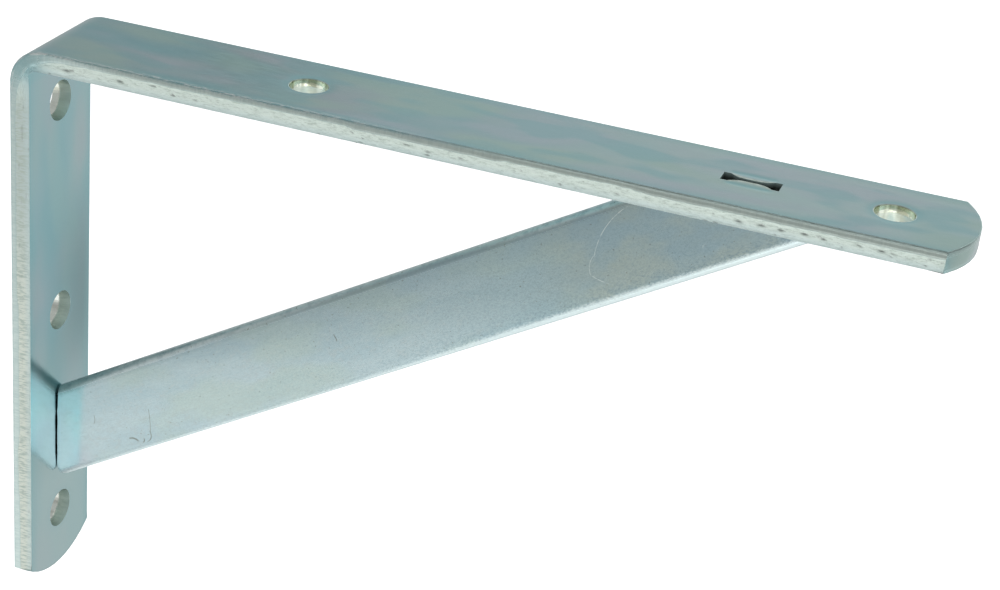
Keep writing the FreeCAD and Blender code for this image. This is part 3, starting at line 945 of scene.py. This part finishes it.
    def cut_edge(self, patches: Patchwork) -> tuple[Array, Array]:
        """The cut edge: a profile of rolled corner, smooth zone and torn zone, once round the outline.

        The torn zone leans inwards, and noise and pits sink it. In the bend the metal is smeared smooth,
        wider inside and narrower outside. The two columns that meet the skins keep the skins' finish.

        Args:
            patches: Where the grid goes.

        Returns:
            The edge's first and last ring (along, across), which bound the outer and the inner skin.
        """
        run = self.edge_run()
        count = len(run.points)
        smooth = self.smooth_end(run)
        turn = np.linspace(0.0, RIGHT_ANGLE, self.roll_columns)[None, :] + np.zeros((count, 1))
        share = np.linspace(0.0, 1.0, self.smooth_columns + 1)[None, 1:]
        tear = np.append(np.linspace(0.0, 0.99, self.torn_columns)[1:], 1.0)[None, :]
        held = np.append(np.ones(self.torn_columns - 1), 0.0)[None, :]
        smooth_depth = self.edge_roll + (smooth - self.edge_roll) * share
        torn_depth = smooth + (self.thickness - smooth) * tear
        depth = np.concatenate([self.edge_roll * (1.0 - np.cos(turn)), smooth_depth, torn_depth], 1)
        lengthwise = rough_grain(run.stretch / 1.3, torn_depth / 0.55, 21, 4)
        crosswise = rough_grain(run.stretch / 0.62, torn_depth / 1.7, 22, 4)
        relief = 0.5 + 0.5 * (lengthwise * (1.0 - run.wall) + 0.5 * crosswise * run.wall)
        window = ease(tear, 0.0, 0.12) * (1.0 - ease(tear, 0.9, 1.0))
        calm = (1.0 - 0.85 * run.bend) * (1.0 - 0.8 * run.arc)
        lean = self.side_break * tear * (1.0 - 0.7 * run.arc) * (1.0 - run.bend)
        pits = self.pits(run, torn_depth)
        torn_in = lean + window * calm * (0.03 + 0.24 * relief + 0.3 * pits)
        level = np.zeros((count, self.smooth_columns))
        inset = np.concatenate([self.edge_roll * (1.0 - np.sin(turn)), level, torn_in], 1)
        inset = inset + 0.16 * run.bend * (1.0 - ease(depth, 0.5, 3.5))
        ring = run.points[:, None, :] + run.ways[:, None, :] * inset[..., None]
        whole = np.zeros((count, self.roll_columns + self.smooth_columns))
        # painted shade along the rolled corner's groove, and a real smudge near the bend; both take the
        # near-black colour
        smudge_and_groove_shade = self.smudge_and_groove_shade(run, depth)
        torn = np.maximum(np.concatenate([whole, held * calm], 1), smudge_and_groove_shade)
        # painted shade: the pits in the torn zone are painted near black
        stain = np.concatenate([whole, held * np.minimum(1.5 * pits, 1.0) * calm], 1)
        rubbed = np.concatenate([0.4 * turn, level + 1.0, 0.0 * torn_depth], 1)
        rubbed = rubbed * (1.0 - 0.7 * run.bend) * (1.0 - 0.7 * run.arc)
        rubbed[:, 0] = 0.0
        flat = self.at_depth(ring, depth)
        patches.add(flat, loop=True, torn=torn, stain=np.maximum(stain, smudge_and_groove_shade), rubbed=rubbed)
        return ring[:, 0], ring[:, -1]

    def skin(self, patches: Patchwork, ring: Array, side: Side) -> None:
        """One skin of the strip: plain runs, a cell round each hole and slot, and a fan into each tip's arc.

        Across a run the rows share out the width between the ring's two sides. In a cell the grid runs
        from the opening's loop straight out to the cell's border.

        Args:
            patches: Where the grids go.
            ring: The skin's border (along, across), once round.
            side: Which skin it is.
        """
        count, steps = len(self.stations), self.row_steps
        near = ring[:count]
        shelf_arc = ring[count - 1:count + steps]
        far = ring[count - 1 + steps:2 * count - 1 + steps][::-1]
        wall_arc = np.concatenate([ring[2 * count - 2 + steps:], ring[:1]])[::-1]
        share = ((self.rows + 1.0) / 2.0)[None, :, None]
        sheet = near[:, None, :] * (1.0 - share) + far[:, None, :] * share
        first, last = self.plain[0], self.plain[-1]
        reach = np.linspace(1.0, 0.0, first[1] - first[0] + 1)[:, None, None]
        sheet[first[0]:first[1] + 1] += reach * (wall_arc - sheet[first[0]])[None]
        reach = np.linspace(0.0, 1.0, last[1] - last[0] + 1)[:, None, None]
        sheet[last[0]:last[1] + 1] += reach * (shelf_arc - sheet[last[1]])[None]
        level = 0.0 if side is Side.OUTER else self.thickness
        for start, end in self.plain:
            flat = self.at_depth(sheet[start:end + 1], level)
            patches.add(flat, stain=0.4 * bell(flat[..., 0] + self.bend_length / 2.0, 6.0))
        for start, end, middle in self.cells:
            self.cell(patches, sheet[start:end + 1], middle, side)

    @staticmethod
    def at_depth(plan: Array, depth: Array | float) -> Array:
        """Joins a depth to places (along, across)."""
        return np.concatenate([plan, np.broadcast_to(np.asarray(depth), plan.shape[:-1])[..., None]], -1)

    def border(self, block: Array) -> Array:
        """A cell's border once round, anticlockwise from the middle of its far end.

        Args:
            block: The cell's part of the skin (along, across).

        Returns:
            The border's points (along, across).
        """
        half = self.row_steps // 2
        upper = [block[-1, half:-1], block[:0:-1, -1]]
        return np.concatenate([*upper, block[0, :0:-1], block[:-1, 0], block[-1, :half]])

    def cell(self, patches: Patchwork, block: Array, middle: float, side: Side) -> None:
        """The skin round one opening, blended from the opening's loop to the cell's border.

        Outside, the skin dips towards a hole, and beside a slot where the chisel drove the lips in.

        Args:
            patches: Where the grid goes.
            block: The cell's part of the skin (along, across).
            middle: The opening's place along the strip.
            side: Which skin it is.
        """
        outside, is_slot = side is Side.OUTER, middle in self.slots
        opening = self.slot_rim(side) if is_slot else self.hole_rim(side)
        loop = opening + np.array([middle, 0.0])
        close, wide = np.linspace(0.008, 0.3, 12 if outside else 3), (0.38, 0.5, 0.65, 0.8, 0.93, 0.985, 1.0)
        share = np.concatenate([[0.0], close, wide])[None, :, None]
        plan = loop[:, None, :] * (1.0 - share) + self.border(block)[:, None, :] * share
        away, across, share = np.abs(plan[..., 0] - middle), np.abs(plan[..., 1]), share[..., 0]
        if is_slot:
            bowed = 3.3 - 0.25 * np.square(away / 5.0)
            chisel = bell(across - bowed, 1.0) * (1.0 - ease(away, 4.2, 6.2)) * ease(share, 0.0, 0.06)
            dip, stain = 0.06 * chisel, 0.8 * chisel
            bright = 0.6 * bell(14.0 * share - 0.3, 0.4) * (1.0 - ease(away, 4.0, 5.4))
        else:
            out = np.hypot(away, across) - self.hole_radius - self.hole_roll
            dip, stain = self.hole_dip * bell(out, self.dip_reach), 0.6 * bell(out - 0.3, 1.3)
            bright = 0.0
        dip = dip * (1.0 - ease(share, 0.8, 0.93))
        if outside:
            patches.add(self.at_depth(plan, dip), loop=True, stain=stain, bore=bright)
        else:
            patches.add(self.at_depth(plan, self.thickness), loop=True, stain=0.25 * stain)

    def circle(self) -> Array:
        """The angles of a hole's loop, once round."""
        return np.linspace(0.0, FULL_TURN, self.loop_steps, endpoint=False)

    def hole_rim(self, side: Side) -> Array:
        """A hole's loop on a skin: a circle, wider by the roll outside and by the break inside."""
        radius = self.hole_radius + (self.hole_roll if side is Side.OUTER else self.hole_break)
        return np.stack([np.cos(self.circle()), np.sin(self.circle())], -1) * radius

    def hole_wall(self, patches: Patchwork, middle: float, seed: int) -> None:
        """A punched hole's wall: a roll, a smooth cylinder and a torn cone, turned about the hole's axis.

        Args:
            patches: Where the grid goes.
            middle: The hole's place along the strip.
            seed: Number that picks the tear.
        """
        turn = self.circle()[:, None]
        arc = np.linspace(0.0, RIGHT_ANGLE, self.hole_roll_columns)[None, :] + 0.0 * turn
        share = np.linspace(0.0, 1.0, self.hole_smooth_columns + 1)[None, 1:]
        tear = np.append(np.linspace(0.0, 0.99, self.hole_torn_columns)[1:], 1.0)[None, :]
        smooth = self.smooth_zone + 0.4 + 0.25 * grain(turn * 2.2, 0.5, seed)
        roll_depth = self.hole_roll * (1.0 - np.cos(arc))
        rim_dip = self.hole_dip * (1.0 - ease(roll_depth, 0.0, self.hole_roll))
        smooth_depth = self.hole_roll + (smooth - self.hole_roll) * share
        torn_depth = smooth + (self.thickness - smooth) * tear
        depth = np.concatenate([roll_depth + rim_dip, smooth_depth, torn_depth], 1)
        relief = 0.5 + 0.5 * rough_grain(turn * 9.0, torn_depth / 1.4, seed + 1)
        window = ease(tear, 0.0, 0.15) * (1.0 - ease(tear, 0.85, 1.0))
        rolled = self.hole_roll * (1.0 - np.sin(arc))
        torn_out = self.hole_break * tear + window * 0.06 * relief
        radius = self.hole_radius + np.concatenate([rolled, 0.0 * smooth_depth, torn_out], 1)
        plan = np.stack([middle + radius * np.cos(turn), radius * np.sin(turn)], -1)
        whole, held = self.hole_roll_columns + self.hole_smooth_columns, self.hole_torn_columns - 1
        torn = np.concatenate([np.zeros(whole), np.full(held, 0.3), [0.0]])
        fade_in = np.linspace(0.0, 1.0, self.hole_roll_columns)
        bore = np.concatenate([fade_in, np.ones(self.hole_smooth_columns + held), [0.0]])
        patches.add(self.at_depth(plan, depth), loop=True, torn=torn, bore=bore)

    def slot_rim(self, side: Side) -> Array:
        """A slot's loop on a skin: the closed-up lips outside, a plain rectangle inside."""
        return self.lips(self.lip_round) if side is Side.OUTER else self.chamber()

    def lips(self, wider: float = 0.0) -> Array:
        """The lips' outline once round, anticlockwise: square open ends, and two curves that nearly meet.

        A lip's distance from the middle line grows from the half opening to the half width with the flare's
        power of the share of the way to its end.

        Args:
            wider: How far the outline is moved outwards, for the lips' rounded rim.

        Returns:
            Points (along, across) about the slot's middle.
        """
        end, side = self.slot_length / 2.0, self.slot_width / 2.0
        start, gap = end - self.lip_open_end, self.lip_opening / 2.0
        ends, opened = self.slot_end_steps, self.slot_open_steps
        lip = self.loop_steps // 2 - 2 * (ends + opened)
        arc_along = np.linspace(start, -start, lip + 1)
        arc_across = gap + (side - gap) * np.abs(arc_along / start) ** self.lip_flare
        quarter = np.concatenate([
            np.stack([np.full(ends, end + wider), np.linspace(0.0, side + wider, ends + 1)[:-1]], -1),
            np.stack([np.linspace(end + wider, start, opened + 1)[:-1], np.full(opened, side + wider)], -1),
        ])
        arc = np.stack([arc_along, arc_across + wider], -1)
        upper = np.concatenate([quarter, arc, (quarter * np.array([-1.0, 1.0]))[:0:-1]])
        return np.concatenate([upper, -upper])

    def chamber(self) -> Array:
        """The slot's rectangle once round, with as many points and in the same order as the lips.

        Returns:
            Points (along, across) about the slot's middle.
        """
        end, side, ends = self.slot_length / 2.0, self.slot_width / 2.0, self.slot_end_steps
        along_steps = self.loop_steps // 2 - 2 * ends
        up = np.stack([np.full(ends, end), np.linspace(0.0, side, ends + 1)[:-1]], -1)
        back = np.stack([np.linspace(end, -end, along_steps + 1), np.full(along_steps + 1, side)], -1)
        down = np.stack([np.full(ends - 1, -end), np.linspace(side, 0.0, ends + 1)[1:-1]], -1)
        upper = np.concatenate([up, back, down])
        return np.concatenate([upper, -upper])

    def slot_wall(self, patches: Patchwork, middle: float) -> None:
        """A slot's wall: the lips' rounded rim and cut, their underside, and the chamber to the inner skin.

        Args:
            patches: Where the grid goes.
            middle: The slot's place along the strip.
        """
        shoulder, lips, chamber = 0.3 * self.lip_round, self.lips(), self.chamber()
        loops = [self.lips(self.lip_round), self.lips(shoulder), lips, lips, chamber, chamber, chamber]
        depths = np.array([0.0, shoulder, self.lip_round, self.lip_depth, self.lip_depth,
                           self.thickness - self.lip_round, self.thickness])
        plan = np.stack(loops, 1) + np.array([middle, 0.0])
        # painted shade: the lips' underside and the chamber are painted near black, for the shade inside the
        # slot
        dark = np.array([0.0, 0.3, 0.8, 1.0, 1.0, 1.0, 0.0])
        patches.add(self.at_depth(plan, depths), loop=True, torn=dark, stain=dark)

    def build(self) -> bpy.types.Object:
        """Builds the whole strip as one closed shell.

        Returns:
            The strip's object.
        """
        patches = Patchwork("strip", self.place)
        outer, inner = self.cut_edge(patches)
        self.skin(patches, outer, Side.OUTER)
        self.skin(patches, inner, Side.INNER)
        for order, middle in enumerate(self.holes):
            self.hole_wall(patches, middle, 40 + 3 * order)
        for middle in self.slots:
            self.slot_wall(patches, middle)
        return patches.object()

    def dress(self, piece: bpy.types.Object) -> None:
        """Gives the strip its finish, and puts it in its solid's place in the frame.

        Args:
            piece: The strip's object.
        """
        piece.data.materials.append(self.finish.material())
        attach(piece, "root")
        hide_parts("bent_strip")


@dataclass
class DiagonalStrut:
    """The strut: a round-edged flat bar on edge, cropped to both arms, with a tenon on each end.

    Its flat place is (along, across, out): along runs up the bar's middle line from the wall arm, across
    runs square to it in the bracket's plane, and out is the distance from the middle plane.
    """

    foot: float = 109.8
    head: float = 177.4
    strip_thickness: float = 5.0
    width: float = 23.1
    thickness: float = 4.0
    edge_radius: float = 1.6
    crown: float = 0.25
    corner_radius: float = 2.0
    tip_radius: float = 1.0
    foot_gap: float = 0.2
    head_gap: float = 0.1
    end_break: float = 0.15
    tenon_width: float = 12.8
    tenon_half: float = 1.5
    tenon_ease: float = 0.25
    tenon_sunk: float = 0.8
    head_tenon: float = 174.7
    tenon_end: float = 1.3
    stations: int = 260
    rim_steps: int = 5
    round_steps: int = 9
    face_steps: int = 18
    finish: StrutFinish = field(default_factory=StrutFinish)

    def __post_init__(self) -> None:
        """Works out the bar's slope."""
        slope = math.atan2(self.foot - self.strip_thickness, self.head - self.strip_thickness)
        self.sine, self.cosine = math.sin(slope), math.cos(slope)

    def place(self, flat: Array) -> Array:
        """Turns flat places by the bar's slope about the point where its middle line meets the wall arm.

        Args:
            flat: Places on the bar, in millimetres.

        Returns:
            Points of the shared frame, in metres.
        """
        along, across, out = flat[..., 0], flat[..., 1], flat[..., 2]
        x = self.strip_thickness + along * self.cosine - across * self.sine
        z = CORNER_HEIGHT - self.foot + along * self.sine + across * self.cosine
        return np.stack([x, out, z], -1) * MM

    def foot_cut(self, across: Array) -> Array:
        """Where the upright foot begins: a plane, then an arc round the low corner into the lower edge.

        Args:
            across: Places across the bar.

        Returns:
            Places along the bar.
        """
        plane = (self.foot_gap + across * self.sine) / self.cosine
        centre = self.corner_radius - self.width / 2.0
        centre_along = (self.foot_gap + self.corner_radius + centre * self.sine) / self.cosine
        arc = centre_along - np.sqrt(np.maximum(self.corner_radius**2 - np.square(across - centre), 0.0))
        return np.where(across < centre + self.corner_radius * self.sine, arc, plane)

    def head_cut(self, across: Array) -> Array:
        """Where the level head ends: a plane, then an arc that blunts the sharp tip into the lower edge.

        Args:
            across: Places across the bar.

        Returns:
            Places along the bar.
        """
        rise = self.foot - self.strip_thickness - self.head_gap
        plane = (rise - across * self.cosine) / self.sine
        centre = self.tip_radius - self.width / 2.0
        centre_along = (rise - self.tip_radius - centre * self.cosine) / self.sine
        arc = centre_along + np.sqrt(np.maximum(self.tip_radius**2 - np.square(across - centre), 0.0))
        return np.where(across < centre + self.tip_radius * self.cosine, arc, plane)

    def half_section(self) -> tuple[Array, Array]:
        """Half of the bar's section, from its lower edge's middle round one side to its upper edge's.

        The rolled face is crowned: it falls back by the crown times the squared share of the half width.

        Returns:
            Points (across, out) and their outward normals.
        """
        side, edge, radius = self.thickness / 2.0, self.width / 2.0, self.edge_radius
        turn = np.linspace(0.0, RIGHT_ANGLE, self.round_steps)
        low_normal = np.stack([-np.cos(turn), np.sin(turn)], -1)
        low = np.array([radius - edge, side - radius]) + radius * low_normal
        flip = np.array([-1.0, 1.0])
        rows = np.linspace(radius - edge, edge - radius, self.face_steps + 1)[1:-1]
        face = np.stack([rows, np.full_like(rows, side)], -1)
        face_normal = np.broadcast_to(np.array([0.0, 1.0]), face.shape)
        points = np.concatenate([[[-edge, 0.0]], low, face, (low * flip)[::-1], [[edge, 0.0]]])
        points[1:-1, 1] -= self.crown * np.square(points[1:-1, 0] / edge)
        upper_normal = (low_normal * flip)[::-1]
        normals = np.concatenate([[[-1.0, 0.0]], low_normal, face_normal, upper_normal, [[1.0, 0.0]]])
        return points, normals

    def uneven(self, across: Array) -> Array:
        """How far the foot stands back: more at its top, and forward at two near-touching spots.

        Args:
            across: Places across the bar.

        Returns:
            Distances along the bar, in millimetres.
        """
        touch = np.maximum(bell(across - 5.2, 0.7), bell(across + 7.4, 0.9))
        worn = 0.03 + 0.12 * ease(across, -2.0, 10.0) + 0.05 * grain(across / 2.5, 0.5, 71)
        return worn * (1.0 - touch) - 0.12 * touch

    def bar(self, patches: Patchwork) -> None:
        """The bar: its section carried along between the two cuts, with rounded end rims and caps.

        Args:
            patches: Where the grids go.
        """
        points, normals = self.half_section()
        mirror = np.array([1.0, -1.0])
        loop = np.concatenate([points, (points * mirror)[-2:0:-1]])
        loop_normals = np.concatenate([normals, (normals * mirror)[-2:0:-1]])
        rim = np.linspace(RIGHT_ANGLE, 0.0, self.rim_steps)
        run = np.linspace(0.0, 1.0, self.stations + 1)[1:-1]
        turn = np.concatenate([rim, 0.0 * run, rim[::-1]])
        inset, back = self.end_break * (1.0 - np.cos(turn)), self.end_break * (1.0 - np.sin(turn))
        share = np.concatenate([0.0 * rim, run, 0.0 * rim + 1.0])
        section = loop[:, None, :] - loop_normals[:, None, :] * inset[None, :, None]
        start = self.foot_cut(section[..., 0]) + self.uneven(section[..., 0]) + back
        end = self.head_cut(section[..., 0]) - back
        along = start + (end - start) * share
        flat = np.concatenate([along[..., None], section], -1)
        patches.add(flat, loop=True)
        half = len(points)
        for column in (0, -1):
            near = flat[:half, column]
            far = np.concatenate([flat[:1, column], flat[:half - 2:-1, column]])
            across = np.linspace(0.0, 1.0, 4)[None, :, None]
            patches.add(near[:, None, :] * (1.0 - across) + far[:, None, :] * across)

    def flatten(self, x: Array, y: Array, z: Array) -> Array:
        """The flat place of points given from the bracket's corner: place() turned back.

        Args:
            x: Distances from the wall, in millimetres.
            y: Distances from the middle plane, in millimetres.
            z: Heights above the shelf arm's top, in millimetres.

        Returns:
            Places on the bar.
        """
        run, rise = x - self.strip_thickness, z + self.foot
        along, across = run * self.cosine + rise * self.sine, rise * self.cosine - run * self.sine
        return np.stack([along, across, y], -1)

    def tenon(self, patches: Patchwork, arm: Arm) -> None:
        """A tenon: a block with an eased end, from just under the arm's lips down into the bar.

        Args:
            patches: Where the grid goes.
            arm: The arm that the tenon goes into.
        """
        half = np.array([self.tenon_width / 2.0, self.tenon_half])
        corners = np.array([[1.0, -1.0], [1.0, 1.0], [-1.0, 1.0], [-1.0, -1.0], [1.0, -1.0]]) * half
        loop = np.concatenate([np.linspace(corners[k], corners[k + 1], 9)[:-1] for k in range(4)])
        root = self.strip_thickness - self.tenon_end + self.tenon_sunk
        eased = np.clip(loop, self.tenon_ease - half, half - self.tenon_ease)
        rings = np.stack([0.0 * loop, eased, loop, loop, 0.0 * loop], 1)
        levels = np.array([0.0, 0.0, self.tenon_ease, root, root])
        deep = self.tenon_end + np.broadcast_to(levels, rings.shape[:2])
        if arm is Arm.SHELF:
            flat = self.flatten(self.head_tenon + rings[..., 0], rings[..., 1], -deep)
        else:
            flat = self.flatten(deep, rings[..., 1], rings[..., 0] - self.foot)
        # painted shade: the whole tenon is marked for the near-black tenon colour
        patches.add(flat, loop=True, stain=1.0)

    def build(self) -> bpy.types.Object:
        """Builds the bar with its tenons.

        Returns:
            The strut's object.
        """
        patches = Patchwork("strut", self.place)
        self.bar(patches)
        for arm in Arm:
            self.tenon(patches, arm)
        return patches.object()

    def dress(self, piece: bpy.types.Object) -> None:
        """Gives the strut its finish, and puts it in its solid's place in the frame.

        Args:
            piece: The strut's object.
        """
        piece.data.materials.append(self.finish.material())
        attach(piece, "root")
        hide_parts("diagonal_strut")


@dataclass(frozen=True)
class Card:
    """A card that only reflections see, like a studio's flags: its colour, middle and half edges."""

    name: str
    level: Colour
    facing: Facing
    centre: Triple
    half: tuple[float, float]


@dataclass(frozen=True)
class Lamp:
    """A square soft lamp: its place, the spot it points at, its edge in metres and its power in watts."""

    name: str
    place: Triple
    aim: Triple
    size: float
    power: float


@dataclass
class Studio:
    """A pale floor under soft light, cards that give the metal something to mirror, and the camera."""

    floor_height: float = -0.42
    floor_half: float = 7.0
    floor_colour: Colour = (0.86, 0.86, 0.86)
    floor_glow: float = 0.45
    camera_glow: float = 0.3
    fill: float = 0.42
    lens: float = 77.3816
    camera_place: Triple = (0.249572, -0.430422, 0.254941)
    camera_right: Triple = (0.93985316, 0.32904188, 0.09169233)
    camera_down: Triple = (0.22391865, -0.39078587, -0.8928308)
    camera_forward: Triple = (-0.25794666, 0.85966147, -0.44095995)
    cards: tuple[Card, ...] = (
        Card("ceiling", (0.50, 0.51, 0.51), Facing.UP, (0.1, 0.0, 1.7), (6.0, 6.0)),
        Card("ceiling_left", (0.34, 0.35, 0.35), Facing.UP, (-3.4, 3.5, 1.65), (1.9, 2.5)),
        Card("overhead_flag", (0.38, 0.39, 0.39), Facing.UP, (0.1, 0.02, 1.35), (2.5, 0.78)),
        Card("front_flag", (0.38, 0.39, 0.39), Facing.FRONT, (0.1, -0.76, 0.60), (2.5, 0.74)),
        Card("front_low", (0.60, 0.61, 0.61), Facing.FRONT, (0.1, -0.76, -0.28), (2.5, 0.14)),
        Card("front_floor", (0.95, 0.95, 0.95), Facing.UP, (0.1, -0.68, -0.41), (2.5, 0.08)),
        Card("front_right", (2.0, 2.0, 2.0), Facing.UP, (0.45, -0.56, -0.40), (0.3, 0.17)),
        Card("back_floor", (0.66, 0.66, 0.66), Facing.UP, (0.1, 2.2, -0.41), (4.0, 2.0)),
        Card("left", (0.42, 0.43, 0.43), Facing.SIDE, (-0.9, 0.6, 0.6), (1.3, 1.0)),
        Card("right", (0.32, 0.33, 0.33), Facing.SIDE, (1.5, 0.2, 0.6), (1.6, 1.0)),
    )
    lamps: tuple[Lamp, ...] = (
        Lamp("overhead", (0.1, 0.55, 1.3), (0.1, 0.05, 0.0), 1.0, 7.0),
        Lamp("front", (0.4, -1.3, 0.9), (0.1, 0.0, 0.0), 0.8, 5.0),
    )

    def world(self) -> None:
        """White behind the object and in its reflections, an even grey for the light that falls on it."""
        world = bpy.data.worlds.new("studio")
        bpy.context.scene.world = world
        world.use_nodes = True
        nodes = Nodes(world.node_tree)
        nodes.tree.nodes.clear()
        grey = nodes.node("Background", {"Color": (self.fill, self.fill, self.fill, 1.0)})
        white = nodes.node("Background", {"Color": (1.0, 1.0, 1.0, 1.0)})
        mixed = nodes.node("MixShader", {0: nodes.seen(), 1: grey.outputs[0], 2: white.outputs[0]})
        nodes.node("OutputWorld", {0: mixed.outputs[0]})

    def sheet(self, name: str, facing: Facing, centre: Triple,
              half: tuple[float, float]) -> bpy.types.Object:
        """A flat stage sheet.

        Args:
            name: The sheet's name.
            facing: How it lies.
            centre: Its middle, in metres.
            half: Its two half edges, in metres.

        Returns:
            The new object, marked as stage.
        """
        across, up = (np.array(axis) * size for axis, size in zip(facing.value, half))
        signs = np.array([[-1.0, -1.0], [1.0, -1.0], [1.0, 1.0], [-1.0, 1.0]])
        mesh = bpy.data.meshes.new(name)
        mesh.from_pydata(np.array(centre) + signs[:, :1] * across + signs[:, 1:] * up, [], [[0, 1, 2, 3]])
        made = bpy.data.objects.new(name, mesh)
        bpy.context.scene.collection.objects.link(made)
        return made

    def floor(self) -> None:
        """The plain pale floor, so far below the bracket that its soft shadow lies outside the picture."""
        half = (self.floor_half, self.floor_half)
        made = self.sheet("floor", Facing.UP, (0.0, 0.0, self.floor_height), half)
        shader = Shader("floor")
        from_camera = shader.node("LightPath").outputs["Is Camera Ray"]
        glow = shader.maths("ADD", shader.times(shader.seen(), self.floor_glow),
                            shader.times(from_camera, self.camera_glow))
        shader.set({"Base Color": (*self.floor_colour, 1.0), "Roughness": 0.9, "Specular IOR Level": 0.1,
                    "Emission Color": (1.0, 1.0, 1.0, 1.0), "Emission Strength": glow})
        made.data.materials.append(shader.material)

    def card(self, card: Card) -> None:
        """Puts up a card that neither the camera nor the light on the object sees.

        Args:
            card: The card.
        """
        made = self.sheet(card.name, card.facing, card.centre, card.half)
        shader = Shader(card.name)
        shader.set({"Base Color": (0.0, 0.0, 0.0, 1.0), "Emission Color": (*card.level, 1.0),
                    "Emission Strength": 1.0})
        made.data.materials.append(shader.material)
        made.visible_camera = False
        made.visible_diffuse = False
        made.visible_shadow = False

    def lamp(self, lamp: Lamp) -> None:
        """Puts up a lamp that reflections don't show.

        Args:
            lamp: The lamp.
        """
        data = bpy.data.lights.new(lamp.name, "AREA")
        data.size = lamp.size
        data.energy = lamp.power
        made = bpy.data.objects.new(lamp.name, data)
        made.location = lamp.place
        made.rotation_mode = "QUATERNION"
        made.rotation_quaternion = (Vector(lamp.aim) - Vector(lamp.place)).to_track_quat("-Z", "Y")
        made.visible_glossy = False
        bpy.context.scene.collection.objects.link(made)

    def camera(self) -> None:
        """The camera at the photo's viewpoint, with its axes from the photo's solved directions."""
        data = bpy.data.cameras.new("camera")
        data.lens = self.lens
        data.sensor_fit = "HORIZONTAL"
        data.sensor_width = 36.0
        data.clip_start = 0.01
        made = bpy.data.objects.new("camera", data)
        up, back = -Vector(self.camera_down), -Vector(self.camera_forward)
        axes = Matrix((self.camera_right, up, back)).transposed()
        made.matrix_world = Matrix.Translation(self.camera_place) @ axes.to_4x4()
        bpy.context.scene.collection.objects.link(made)
        bpy.context.scene.camera = made

    def build(self) -> None:
        """Sets up the world, floor, cards, lamps and camera."""
        bpy.context.scene.view_settings.view_transform = "Standard"
        self.world()
        self.floor()
        for card in self.cards:
            self.card(card)
        for lamp in self.lamps:
            self.lamp(lamp)
        self.camera()


def main() -> None:
    """Builds the bracket's pieces and the studio in order."""
    logging.basicConfig(level=logging.INFO, format="%(name)s: %(message)s")
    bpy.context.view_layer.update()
    for builder in (BentStrip(), DiagonalStrut()):
        piece = builder.build()
        builder.dress(piece)
        log.info("built %s", piece.name)
    Studio().build()
    bpy.context.view_layer.update()


if __name__ == "__main__":
    main()
